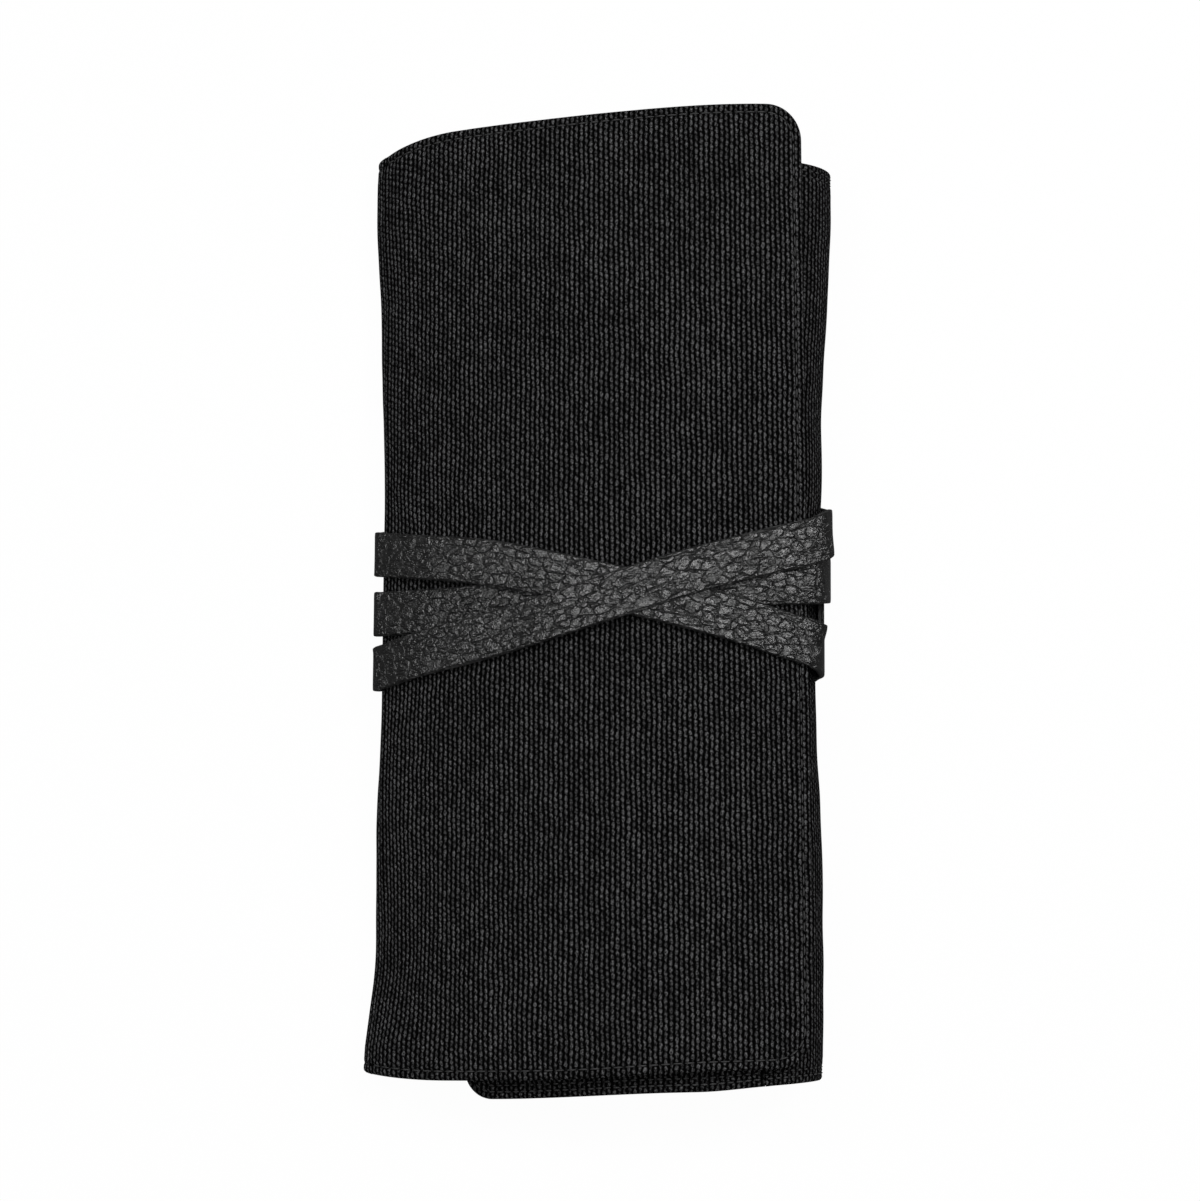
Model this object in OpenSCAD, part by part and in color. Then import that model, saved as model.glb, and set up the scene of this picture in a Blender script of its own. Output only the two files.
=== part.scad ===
// A watch roll of padded canvas, closed: a back panel, a flap folded over from the left and an
// inner panel folded in from the right, with a flat leather strap wound three times round the middle.
// X runs across the roll, Y along its folds, Z up. The roll lies on its back on the plane Z = 0.

/* [Roll] */
// Length of the roll along its folds
roll_len = 240; // [200:1:280]
// Width of the closed roll over its two folds
roll_w = 117; // [110:1:124]
// Step of each panel's ends along the roll from one fold to the next
wrap_step = 3.9; // [0:0.1:6]

/* [Fabric] */
// Thickness of the outer canvas
canvas_t = 1.1; // [0.8:0.1:1.4]
// Thickness of the padding in the flap and the inner panel
padding_t = 1.6; // [1:0.1:2]
// Thickness of the padding under the pockets of the back
back_padding_t = 2.8; // [2.6:0.1:3.4]
// Thickness of the lining
lining_t = 0.6; // [0.4:0.1:0.8]
// Play between two plies that lie on each other
ply_gap = 0.1; // [0.05:0.05:0.2]
// Play between two panels that lie on each other
panel_gap = 0.6; // [0.6:0.1:0.9]

/* [Flap] */
// Distance of the flap's free edge from the middle of the roll
flap_edge_x = 52; // [48:0.5:53]
// Height of the flap's free edge over the table
flap_edge_z = 31; // [29:0.5:33]
// Slope of the flap where it leaves the left fold, in degrees
flap_rise = 40; // [36:1:44]
// Slope down of the flap at its free edge, in degrees
flap_fall = 14; // [10:1:16]
// How far the lower end of the free edge stands out past its upper end
flap_skew = 3; // [0:0.5:4]
// Corner radius of the flap
flap_corner_r = 9.5; // [4:0.5:14]

/* [Inner panel] */
// Distance of the inner panel's free edge from the middle of the roll, towards the left fold
inner_edge_x = 34.5; // [30:0.5:38]
// Corner radius of the inner panel
inner_corner_r = 8; // [4:0.5:12]
// How much lower than the flap the free edge of the inner panel lies
inner_drop = 3.7; // [3.5:0.1:4]

/* [Folds] */
// Outer radius of the left fold
left_fold_r = 5; // [4.8:0.1:5.4]
// How far the right fold bulges past the line where the inner panel starts
right_fold_bulge = 16.5; // [14:0.5:18]
// How far the strap draws the left fold in
left_waist = 1.7; // [1:0.1:2]
// How far the strap draws the right fold in
right_waist = 3.3; // [2:0.1:3.5]
// How far the strap's hold reaches along the roll past the strap
waist_run = 60; // [40:1:70]

/* [Pockets] */
// Thickness of the pocket fabric
sleeve_t = 0.8; // [0.5:0.1:1]
// Depth of the pockets along the roll
pocket_depth = 150; // [110:1:165]
// Distance of the pocket bottoms from the lower end of the back panel
pocket_inset = 12; // [8:1:20]
// Distance of the back's pockets from the middle of the roll, at their outer seams
pocket_reach = 42; // [38:0.5:43]
// Width of the seam between the two pockets of the back
pocket_seam = 4; // [2:0.5:6]
// Height of the room in the left pocket of the back
left_pocket_h = 5; // [4.5:0.5:5.5]
// Height of the room in the right pocket of the back
right_pocket_h = 10.5; // [8:0.5:11]
// Height of the room in the wide pocket of the inner panel
inner_pocket_h = 6; // [5:0.5:6.5]
// Width of the binding tape along each pocket mouth
binding_w = 8; // [5:0.5:12]
// Thickness of the binding tape
binding_t = 0.5; // [0.4:0.1:0.8]

/* [Strap] */
// Width of the leather strap
strap_w = 11.5; // [9:0.1:12]
// Thickness of the leather strap
strap_t = 1.5; // [1.2:0.1:1.6]
// Gap between two rounds of the strap that lie on each other
strap_gap = 0.55; // [0.55:0.05:0.7]
// Play between the strap and the canvas under it
strap_play = 0.45; // [0.4:0.05:0.5]
// Place along the roll of the first round at the left fold
first_left_y = -0.7; // [-1:0.1:0]
// Place along the roll of the second round at the left fold
second_left_y = 15.2; // [14:0.1:16]
// Place along the roll of the third round at the left fold
third_left_y = -15.1; // [-16:0.1:-14]
// Place along the roll of the first round at the flap's free edge
first_right_y = 4.5; // [4:0.1:5]
// Place along the roll of the second round at the flap's free edge
second_right_y = -8.1; // [-9:0.1:-8]
// Place along the roll of the third round at the flap's free edge
third_right_y = 13.6; // [12:0.1:15]
// Place along the roll of the sewn end of the strap on the right fold
sewn_end_y = -2.9; // [-3.2:0.1:-2.6]

/* [Hidden] */

canvas_colour = [0.045, 0.045, 0.05];
lining_colour = [0.16, 0.16, 0.17];
padding_colour = [0.55, 0.55, 0.53];
binding_colour = [0.08, 0.08, 0.085];
leather_colour = [0.03, 0.03, 0.032];

// Plies
panel_t = canvas_t + padding_t + lining_t + 2 * ply_gap;
back_t = canvas_t + back_padding_t + lining_t + 2 * ply_gap;
half_w = roll_w / 2;
half_len = roll_len / 2;
lining_depth = canvas_t + padding_t + 2 * ply_gap;
rim = canvas_t + ply_gap;
padding_inset = 4;
fold_gap = 0.3;
fold_play = 0.2;
beyond = 30;

// The room that the strap needs between the table and the canvas
strap_floor = 0.1;
arch_h = strap_floor + strap_t + strap_play + 0.15;
waist_y = (third_right_y + third_left_y) / 2 + 4;
waist_half = (third_right_y - third_left_y) / 2 + strap_w / 2 + 9;
ramp_steps = 4;
ramp = [for (i = [0:ramp_steps]) i / ramp_steps];

function unit(v) = v / norm(v);
function left_of(v) = [-v[1], v[0]];
function mix(a, b, s) = a + (b - a) * s;
function smooth(s) = s * s * (3 - 2 * s);
function clamp01(s) = min(1, max(0, s));
function reverse(list) = [for (i = [len(list) - 1:-1:0]) list[i]];

// A curve through four control points, and its direction
function bezier(p, t) =
    pow(1 - t, 3) * p[0] + 3 * pow(1 - t, 2) * t * p[1] + 3 * (1 - t) * t * t * p[2] + pow(t, 3) * p[3];
function bezier_dir(p, t) = unit(
    pow(1 - t, 2) * (p[1] - p[0]) + 2 * (1 - t) * t * (p[2] - p[1]) + t * t * (p[3] - p[2])
);
function bezier_off(p, t, depth) = bezier(p, t) - left_of(bezier_dir(p, t)) * depth;

// The place on a curve where it passes a given X
function at_x(p, x, low = 0, high = 1, tries = 24) =
    tries == 0 ? (low + high) / 2 :
    bezier(p, (low + high) / 2)[0] < x ? at_x(p, x, (low + high) / 2, high, tries - 1) :
    at_x(p, x, low, (low + high) / 2, tries - 1);

// Left fold: a tight round of canvas, seen along Y
left_fold_c = [-half_w + left_fold_r, left_fold_r];
left_fold_end = 90 + flap_rise;
function left_fold(angle, r) = left_fold_c + r * [cos(angle), sin(angle)];

// Outer face of the flap, from the left fold to the free edge
flap_start = left_fold(left_fold_end, left_fold_r);
flap_end = [flap_edge_x + flap_skew / 2, flap_edge_z];
flap_rise_pull = 28;
flap_fall_pull = 42;
flap_curve = [
    flap_start,
    flap_start + flap_rise_pull * [cos(flap_rise), sin(flap_rise)],
    flap_end - flap_fall_pull * [cos(flap_fall), -sin(flap_fall)],
    flap_end
];
flap_low = fold_gap / (3 * flap_rise_pull);
flap_steps = 22;

// The inner panel lies under the flap, and drops a little more towards its free edge
inner_start_x = half_w - right_fold_bulge;
inner_start = at_x(flap_curve, inner_start_x);
inner_top = at_x(flap_curve, inner_start_x - fold_gap);
inner_free = at_x(flap_curve, -inner_edge_x);
inner_low = at_x(flap_curve, -inner_edge_x - 10);
inner_steps = 18;
function inner_depth(t) =
    panel_t + panel_gap + inner_drop * clamp01((inner_start - t) / (inner_start - inner_free));
function inner_face(t, depth) = bezier_off(flap_curve, t, inner_depth(t) + depth);

// Right fold: a full round from the back panel up to the inner panel
right_fold_top = inner_face(inner_start, 0);
right_fold_c = [right_fold_top[0], right_fold_top[1] / 2];
right_fold_a = half_w - right_fold_c[0];
right_fold_b = right_fold_top[1] / 2;
function right_fold(angle, depth) =
    right_fold_c + [(right_fold_a - depth) * cos(angle), (right_fold_b - depth) * sin(angle)];

// Hinge lines: the flap turns about the outermost line of its fold, the inner panel about one inside its own
flap_hinge = [-half_w, left_fold_r];
inner_hinge = [half_w - 6, right_fold_c[1]];

// Ends of the panels: the sheet is wrapped a little askew, so that each panel steps along the roll
function shift_back(x) = -wrap_step * (x + half_w) / roll_w;
function shift_flap(x) = wrap_step * (x + half_w) / roll_w;
function shift_inner(x) = -wrap_step - wrap_step * (half_w - x) / roll_w;

// How much of the strap's hold is felt at a place along the roll
function waist(y) = smooth(1 - clamp01((abs(y - waist_y) - waist_half) / waist_run));
waist_rows = concat(
    [for (s = reverse(ramp)) waist_y - waist_half - s * waist_run],
    [for (s = ramp) waist_y + waist_half + s * waist_run]
);

// A polygon with its corners rounded: each corner is [x, y, radius]
function corner_arc(a, b, c) = let(
    to_a = unit([a[0] - b[0], a[1] - b[1]]),
    to_c = unit([c[0] - b[0], c[1] - b[1]]),
    half = acos(to_a * to_c) / 2,
    reach = b[2] / tan(half),
    middle = [b[0], b[1]] + unit(to_a + to_c) * b[2] / sin(half),
    from = [b[0], b[1]] + to_a * reach - middle,
    to = [b[0], b[1]] + to_c * reach - middle,
    turn = atan2(from[0] * to[1] - from[1] * to[0], from * to),
    start = atan2(from[1], from[0]),
    steps = 10
) b[2] == 0 ? [[b[0], b[1]]] :
    [for (i = [0:steps]) middle + b[2] * [cos(start + turn * i / steps), sin(start + turn * i / steps)]];
function rounded(p) = [
    for (i = [0:len(p) - 1]) each corner_arc(p[(i + len(p) - 1) % len(p)], p[i], p[(i + 1) % len(p)])
];

// A shape drawn in X and Z, pulled along Y
module along(from = -roll_len, to = roll_len) {
    translate([0, to, 0])
        rotate([90, 0, 0])
            linear_extrude(height = to - from)
                children();
}

// A shape drawn in X and Y, pulled up through the whole roll
module upright() {
    translate([0, 0, -beyond])
        linear_extrude(height = 3 * beyond)
            children();
}

// Every piece stands with the middle of the roll over the origin
module placed() {
    translate([-mid_x, -mid_y, 0])
        children();
}

// Outlines of the panels from above
function flap_outline(inset) = let(
    low_x = flap_edge_x + flap_skew / 2 - inset,
    top_x = flap_edge_x - flap_skew / 2 - inset,
    far_x = -half_w - beyond,
    radius = max(0.5, flap_corner_r - inset)
) rounded([
    [far_x, -half_len + inset + shift_flap(far_x), 0],
    [low_x, -half_len + inset + shift_flap(low_x), radius],
    [top_x, half_len - inset + shift_flap(top_x), radius],
    [far_x, half_len - inset + shift_flap(far_x), 0]
]);

function inner_outline(inset) = let(
    free_x = -inner_edge_x + inset,
    radius = max(0.5, inner_corner_r - inset)
) rounded([
    [free_x, -half_len + inset + shift_inner(free_x), radius],
    [half_w, -half_len + inset + shift_inner(half_w), 0],
    [half_w, half_len - inset + shift_inner(half_w), 0],
    [free_x, half_len - inset + shift_inner(free_x), radius]
]);

module back_plan(inset) {
    polygon([
        [-half_w, -half_len + inset + shift_back(-half_w)],
        [half_w, -half_len + inset + shift_back(half_w)],
        [half_w, half_len - inset + shift_back(half_w)],
        [-half_w, half_len - inset + shift_back(-half_w)]
    ]);
}

// Sections of the flap and of the inner panel between two depths under their outer faces
module flap_section(from_depth, to_depth, from_t) {
    places = [for (i = [0:flap_steps]) mix(from_t, 1, i / flap_steps)];
    polygon(concat(
        [for (t = places) bezier_off(flap_curve, t, from_depth)],
        [for (t = reverse(places)) bezier_off(flap_curve, t, to_depth)]
    ));
}

module inner_section(from_depth, to_depth) {
    places = [for (i = [0:inner_steps]) mix(inner_low, inner_top, i / inner_steps)];
    polygon(concat(
        [for (t = places) inner_face(t, from_depth)],
        [for (t = reverse(places)) inner_face(t, to_depth)]
    ));
}

module flap_ply(from_depth, to_depth, inset, from_t = flap_low) {
    intersection() {
        along() flap_section(from_depth, to_depth, from_t);
        upright() polygon(flap_outline(inset));
    }
}

module inner_ply(from_depth, to_depth, inset) {
    intersection() {
        along() inner_section(from_depth, to_depth);
        upright() polygon(inner_outline(inset));
    }
}

// The flap's canvas turns in round its edges, and the padding and the lining lie in that tray
module flap_canvas() {
    color(canvas_colour)
        placed()
            difference() {
                flap_ply(0, panel_t, 0);
                flap_ply(canvas_t, panel_t + 1, canvas_t, 0);
            }
}

module flap_padding() {
    color(padding_colour)
        placed()
            flap_ply(canvas_t + ply_gap, canvas_t + ply_gap + padding_t, padding_inset, 0.03);
}

module flap_lining() {
    color(lining_colour)
        placed()
            flap_ply(lining_depth, panel_t, rim);
}

module inner_panel_canvas() {
    color(canvas_colour)
        placed()
            difference() {
                inner_ply(0, panel_t, 0);
                inner_ply(canvas_t, panel_t + 1, canvas_t);
            }
}

module inner_panel_padding() {
    color(padding_colour)
        placed()
            inner_ply(canvas_t + ply_gap, canvas_t + ply_gap + padding_t, padding_inset);
}

module inner_panel_lining() {
    color(lining_colour)
        placed()
            inner_ply(lining_depth, panel_t, rim);
}

// The back panel, seen along X: its underside rises over the strap
back_from = left_fold_c[0];
back_to = right_fold_c[0];

function arch(lift) = concat(
    [[-roll_len, lift]],
    [for (y = waist_rows) [y, arch_h * waist(y) + lift]],
    [[roll_len, lift]]
);

module back_slab(lift, top, inset, from_x = back_from, to_x = back_to) {
    intersection() {
        translate([from_x, 0, 0])
            rotate([90, 0, 90])
                linear_extrude(height = to_x - from_x)
                    polygon(concat(arch(lift), [[roll_len, top], [-roll_len, top]]));
        upright() back_plan(inset);
    }
}

module back_canvas() {
    color(canvas_colour)
        placed()
            difference() {
                back_slab(0, back_t, 0);
                back_slab(canvas_t, back_t + 1, canvas_t, back_from - 1, back_to + 1);
            }
}

module back_padding() {
    color(padding_colour)
        placed()
            back_slab(
                canvas_t + ply_gap,
                back_t - lining_t - ply_gap,
                padding_inset,
                back_from + padding_inset,
                back_to - padding_inset
            );
}

module back_lining() {
    color(lining_colour)
        placed()
            intersection() {
                translate([back_from, -roll_len, back_t - lining_t])
                    cube([back_to - back_from, 2 * roll_len, lining_t]);
                upright() back_plan(rim);
            }
}

// A sheet of fabric as one closed body: rings of points along Y, each down one face and up the other
module fabric_sheet(rings) {
    n = len(rings[0]);
    half = n / 2;
    rows = len(rings);
    points = [for (ring = rings) each ring];
    sides = [
        for (r = [0:rows - 2], i = [0:n - 1]) let(
            a = r * n + i,
            b = r * n + (i + 1) % n
        ) each [[a, b + n, b], [a, a + n, b + n]]
    ];
    caps = [
        for (i = [0:half - 2]) each [
            [i, n - 2 - i, n - 1 - i],
            [i, i + 1, n - 2 - i]
        ]
    ];
    last = (rows - 1) * n;
    far_caps = [for (f = caps) [last + f[2], last + f[1], last + f[0]]];
    polyhedron(points = points, faces = concat(sides, caps, far_caps));
}

fold_rows = concat([-1], [for (y = waist_rows) y / half_len], [1]);
left_fold_steps = 8;
right_fold_steps = 14;

// Points of a fold, drawn in where the strap holds it
function left_fold_point(angle, r, v) = let(
    p = left_fold(angle, r),
    y = v * half_len,
    w = waist(y)
) [
    p[0] + w * left_waist * sin(180 * (angle - left_fold_end) / (270 - left_fold_end)),
    y,
    p[1] + w * arch_h * max(0, -sin(angle))
];

function right_fold_point(angle, depth, v) = let(
    p = right_fold(angle, depth),
    shift = shift_back(half_w),
    w = waist(v * half_len)
) [
    p[0] - w * right_waist * max(0, cos(angle)),
    v * half_len + mix(shift_back(back_to), shift_inner(inner_start_x), (angle + 90) / 180),
    p[1] + w * arch_h * max(0, -sin(angle))
];

module left_fold_sheet(from_r, to_r) {
    angles = [for (i = [0:left_fold_steps]) mix(270, left_fold_end, i / left_fold_steps)];
    fabric_sheet([
        for (v = fold_rows) concat(
            [for (a = angles) left_fold_point(a, from_r, v)],
            [for (a = reverse(angles)) left_fold_point(a, to_r, v)]
        )
    ]);
}

module right_fold_sheet(from_depth, to_depth) {
    angles = [for (i = [0:right_fold_steps]) mix(-90, 90, i / right_fold_steps)];
    fabric_sheet([
        for (v = fold_rows) concat(
            [for (a = reverse(angles)) right_fold_point(a, from_depth, v)],
            [for (a = angles) right_fold_point(a, to_depth, v)]
        )
    ]);
}

module left_fold_canvas() {
    color(canvas_colour)
        placed()
            left_fold_sheet(left_fold_r, left_fold_r - canvas_t);
}

module left_fold_lining() {
    color(lining_colour)
        placed()
            left_fold_sheet(left_fold_r - rim - fold_play, left_fold_r - rim - fold_play - lining_t);
}

module right_fold_canvas() {
    color(canvas_colour)
        placed()
            right_fold_sheet(0, canvas_t);
}

module right_fold_lining() {
    color(lining_colour)
        placed()
            right_fold_sheet(rim, rim + lining_t);
}

// Pockets: sheets sewn down along their seams, standing open between them
pocket_floor = back_t + ply_gap;
pocket_low_y = -half_len + pocket_inset;
pocket_mouth_y = pocket_low_y + pocket_depth;
pocket_steps = 16;
pocket_fullness = 0.75;
seam_w = 3;

function swell(s) = pow(max(0, sin(180 * s)), pocket_fullness);

// A pocket of the back, seen along Y, grown by a thickness on all sides
module back_room(from_x, to_x, h, grow) {
    polygon(concat(
        [[from_x - grow, pocket_floor]],
        [for (i = [1:pocket_steps - 1]) let(s = i / pocket_steps)
            [mix(from_x - grow, to_x + grow, s), pocket_floor + (h + grow) * swell(s)]],
        [[to_x + grow, pocket_floor]]
    ));
}

module back_rooms(grow) {
    back_room(-pocket_reach, -pocket_seam / 2, left_pocket_h, grow);
    back_room(pocket_seam / 2, pocket_reach - seam_w, right_pocket_h, grow);
}

module back_pockets() {
    color(lining_colour)
        placed() {
            along(pocket_low_y, pocket_mouth_y)
                difference() {
                    union() {
                        back_rooms(sleeve_t);
                        translate([-pocket_reach - seam_w, pocket_floor])
                            square([2 * pocket_reach + seam_w, sleeve_t]);
                    }
                    back_rooms(0);
                }
            along(pocket_low_y, pocket_low_y + sleeve_t)
                back_rooms(sleeve_t);
        }
}

// Height of the pocket sheet's outer face over the lining, at a place across the roll
function room_top(x, from_x, to_x, h) =
    x <= from_x || x >= to_x ? 0 : (h + sleeve_t) * swell((x - from_x) / (to_x - from_x));
function sleeve_top(x) = max(
    sleeve_t,
    room_top(x, -pocket_reach - sleeve_t, -pocket_seam / 2 + sleeve_t, left_pocket_h),
    room_top(x, pocket_seam / 2 - sleeve_t, pocket_reach - seam_w + sleeve_t, right_pocket_h)
);

module back_pocket_binding() {
    places = [for (i = [0:48]) mix(-pocket_reach - seam_w / 2, pocket_reach - seam_w / 2, i / 48)];
    color(binding_colour)
        placed()
            along(pocket_mouth_y - binding_w, pocket_mouth_y)
                polygon(concat(
                    [for (x = places) [x, pocket_floor + sleeve_top(x) + ply_gap + binding_t]],
                    [for (x = reverse(places)) [x, pocket_floor + sleeve_top(x) + ply_gap]]
                ));
}

// The wide pocket of the inner panel hangs under its lining
inner_seam = 0.02;
inner_pocket_from = inner_free + 3 * inner_seam;
inner_pocket_to = inner_start - 2 * inner_seam;
inner_pocket_low_y = pocket_low_y - 1.4 * wrap_step;
inner_pocket_mouth_y = inner_pocket_low_y + pocket_depth;

module inner_room(grow, from_depth) {
    places = [for (i = [0:pocket_steps]) i / pocket_steps];
    polygon(concat(
        [for (s = places) let(t = mix(inner_pocket_from, inner_pocket_to, s))
            inner_face(t, panel_t + from_depth)],
        [for (s = reverse(places)) let(t = mix(inner_pocket_from, inner_pocket_to, s))
            inner_face(t, panel_t + from_depth + inner_pocket_h * swell(s) + grow)]
    ));
}

module inner_sleeve_section() {
    places = [for (i = [0:pocket_steps]) i / pocket_steps];
    function room(s, extra) = inner_face(
        mix(inner_pocket_from, inner_pocket_to, s),
        panel_t + ply_gap + inner_pocket_h * swell(s) + extra
    );
    polygon(concat(
        [inner_face(inner_pocket_from - 2 * inner_seam, panel_t + ply_gap)],
        [for (s = places) room(s, 0)],
        [inner_face(inner_pocket_to + inner_seam, panel_t + ply_gap)],
        [inner_face(inner_pocket_to + inner_seam, panel_t + ply_gap + sleeve_t)],
        [for (s = reverse(places)) room(s, sleeve_t)],
        [inner_face(inner_pocket_from - 2 * inner_seam, panel_t + ply_gap + sleeve_t)]
    ));
}

module inner_pocket() {
    color(lining_colour)
        placed() {
            along(inner_pocket_low_y, inner_pocket_mouth_y)
                inner_sleeve_section();
            along(inner_pocket_low_y, inner_pocket_low_y + sleeve_t)
                inner_room(sleeve_t, ply_gap);
        }
}

module inner_pocket_binding() {
    color(binding_colour)
        placed()
            along(inner_pocket_mouth_y - binding_w, inner_pocket_mouth_y)
                difference() {
                    inner_room(sleeve_t + ply_gap + binding_t, ply_gap);
                    inner_room(sleeve_t + ply_gap, ply_gap);
                }
}

// The strap: one band from its sewn end on the right fold, three rounds, to its loose end under the roll.
// A place round the roll is a number: 0 to 1 down the right side, to 2 along the bottom,
// to 3 up the left side and to 4 over the flap. Each further round adds 4.
strap_low = strap_floor + strap_t / 2;
strap_lift = strap_play + strap_t / 2;
strap_pitch = strap_t + strap_gap;

over_start = bezier_off(flap_curve, 0, -strap_lift);
over_end = bezier_off(flap_curve, 1, -strap_lift);
side_x = half_w - right_waist + strap_lift + strap_pitch;
side_z = right_fold_c[1] + 1;
down_curve = [
    over_end,
    over_end + 8 * [cos(flap_fall), -sin(flap_fall)],
    [side_x, side_z + 9],
    [side_x, side_z]
];
under_right = [right_fold_c[0] + 2, strap_low];
under_curve = [
    [side_x, side_z],
    [side_x, side_z - 9.5],
    under_right + [10.5, 0],
    under_right
];
under_left = [left_fold_c[0] + 1.5, strap_low];
up_curve = [
    under_left,
    under_left - [7.5, 0],
    over_start - 4 * [cos(flap_rise), sin(flap_rise)],
    over_start
];

// Centre and outward direction of the band at a place round the roll
function round_curve(q) =
    q < 0.5 ? [down_curve, 2 * q] :
    q < 1 ? [under_curve, 2 * q - 1] :
    q < 2 ? [[under_right, mix(under_right, under_left, 1 / 3), mix(under_right, under_left, 2 / 3), under_left], q - 1] :
    [up_curve, q - 2];
function round_point(q) =
    q < 3 ? let(c = round_curve(q)) bezier(c[0], c[1]) : bezier_off(flap_curve, q - 3, -strap_lift);
function round_out(q) =
    q < 3 ? let(c = round_curve(q)) left_of(bezier_dir(c[0], c[1])) : left_of(bezier_dir(flap_curve, q - 3));

// Route of the band: [place round the roll, place along the roll, how many rounds it lies over]
route = [
    [0.40, sewn_end_y, -1],
    [0.55, sewn_end_y, -1],
    [0.80, sewn_end_y, -0.5],
    [1.00, sewn_end_y, 0],
    [2.00, first_left_y, 0],
    [3.00, first_left_y, 0],
    [4.00, first_right_y, 0],
    [4.50, 6.4, 0],
    [4.72, 9.3, 0],
    [5.00, 9.6, 0],
    [6.00, second_left_y, 0],
    [7.00, second_left_y - 0.2, 0],
    [7.13, mix(second_left_y, second_right_y, 0.12), 1],
    [8.00, second_right_y, 1],
    [8.40, -11, 0],
    [8.72, -15.1, 0],
    [9.00, -15.2, 0],
    [10.00, third_left_y, 0],
    [11.00, third_left_y + 0.3, 0],
    [11.10, mix(third_left_y, third_right_y, 0.10), 1],
    [11.26, mix(third_left_y, third_right_y, 0.27), 1],
    [11.36, mix(third_left_y, third_right_y, 0.37), 2],
    [11.84, mix(third_left_y, third_right_y, 0.85), 2],
    [11.95, mix(third_left_y, third_right_y, 0.95), 1],
    [12.10, third_right_y + 2, 1],
    [12.28, 18.6, 1],
    [12.50, 19.3, 0],
    [12.80, 21.9, 0],
    [13.00, 22.1, 0],
    [13.52, 24.6, 0]
];

// Rings: how many the band has in each quarter of a round
ring_steps = [8, 4, 6, 12];
ring_places = concat(
    [route[0][0]],
    [for (turn = [0:3], quarter = [0:3], i = [0:ring_steps[quarter] - 1])
        let(q = turn * 4 + quarter + i / ring_steps[quarter])
        if (q > route[0][0] + 0.03 && q < route[len(route) - 1][0] - 0.03) q],
    [route[len(route) - 1][0]]
);

function leg(q, i = 0) = i >= len(route) - 2 || q < route[i + 1][0] ? i : leg(q, i + 1);
function band_at(q) = let(
    i = leg(q),
    s = clamp01((q - route[i][0]) / (route[i + 1][0] - route[i][0])),
    y = mix(route[i][1], route[i + 1][1], s),
    layer = mix(route[i][2], route[i + 1][2], smooth(s)),
    p = round_point(q % 4),
    out = round_out(q % 4),
    centre = p + out * layer * strap_pitch
) [[centre[0], y, centre[1]], [out[0], 0, out[1]]];

band = [for (q = ring_places) band_at(q)];
edge_round = 0.35;

function band_dir(i) = unit(band[min(i + 1, len(band) - 1)][0] - band[max(i - 1, 0)][0]);
function band_side(i) = unit(cross(band_dir(i), band[i][1]));
function band_up(i) = unit(cross(band_side(i), band_dir(i)));
band_profile = [
    [-strap_w / 2, 0],
    [-strap_w / 2 + edge_round, strap_t / 2],
    [strap_w / 2 - edge_round, strap_t / 2],
    [strap_w / 2, 0],
    [strap_w / 2 - edge_round, -strap_t / 2],
    [-strap_w / 2 + edge_round, -strap_t / 2]
];
function band_ring(i) = [
    for (p = band_profile) band[i][0] + p[0] * band_side(i) + p[1] * band_up(i)
];

// Least gap of the band to itself: from points across its width to each far length of the band
width_places = [-1, -0.5, 0, 0.5, 1];
own_rings = 10;
function gap_to(p, j) = let(
    run = band[j + 1][0] - band[j][0],
    d = p - band[j][0],
    along_run = d * unit(run) / norm(run),
    side = unit(cross(run, band[j][1])),
    beside = max(0, abs(d * side) - strap_w / 2),
    through = abs(d * unit(cross(side, run))) - strap_t
) along_run < -0.1 || along_run > 1.1 ? 100 : beside > 0 ? norm([beside, max(0, through)]) : through;
strap_self_gap = min([
    for (i = [0:len(band) - 1], j = [0:len(band) - 2])
        if (abs(i - j) >= own_rings && norm(band[i][0] - band[j][0]) < strap_w * 2)
            for (a = width_places) gap_to(band[i][0] + a * strap_w / 2 * band_side(i), j)
]);
echo(least_gap_of_the_strap_to_itself = strap_self_gap);

// Middle of the whole roll, from the strap's sides and from the flap's upper and the inner panel's lower corner
band_x = [for (i = [0:len(band) - 1]) each [for (p = band_ring(i)) p[0]]];
mid_x = (max(band_x) + min(band_x)) / 2;
mid_y = (max([for (p = flap_outline(0)) p[1]]) + min([for (p = inner_outline(0)) p[1]])) / 2;
echo(flap_hinge = flap_hinge - [mid_x, 0], inner_panel_hinge = inner_hinge - [mid_x, 0]);
echo(middle = [mid_x, mid_y], table_to_arch = arch_h);

module strap() {
    n = len(band_profile);
    rings = [for (i = [0:len(band) - 1]) band_ring(i)];
    last = (len(rings) - 1) * n;
    sides = [
        for (r = [0:len(rings) - 2], i = [0:n - 1]) let(
            a = r * n + i,
            b = r * n + (i + 1) % n
        ) each [[a, a + n, b + n], [a, b + n, b]]
    ];
    caps = [for (i = [1:n - 2]) each [[0, i, i + 1], [last, last + i + 1, last + i]]];
    color(leather_colour)
        placed()
            polyhedron(points = [for (ring = rings) each ring], faces = concat(sides, caps));
}

back_canvas();
back_padding();
back_lining();
back_pockets();
back_pocket_binding();
left_fold_canvas();
left_fold_lining();
right_fold_canvas();
right_fold_lining();
flap_canvas();
flap_padding();
flap_lining();
inner_panel_canvas();
inner_panel_padding();
inner_panel_lining();
inner_pocket();
inner_pocket_binding();
strap();
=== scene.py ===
"""Dresses a closed watch roll: ribbed canvas panels, cloth linings, pockets, stitching and a wound leather strap.

All lengths are in millimetres until a mesh is made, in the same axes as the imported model: X across the roll,
Y along its folds and Z up. A point of a panel is given by its distance s from the fold, its place y along the
roll and its depth under the outer face.
"""
import logging
import math
from dataclasses import dataclass, field
from enum import Enum
from typing import Callable, Sequence

import bpy
import numpy as np
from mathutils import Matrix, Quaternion, Vector


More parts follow.
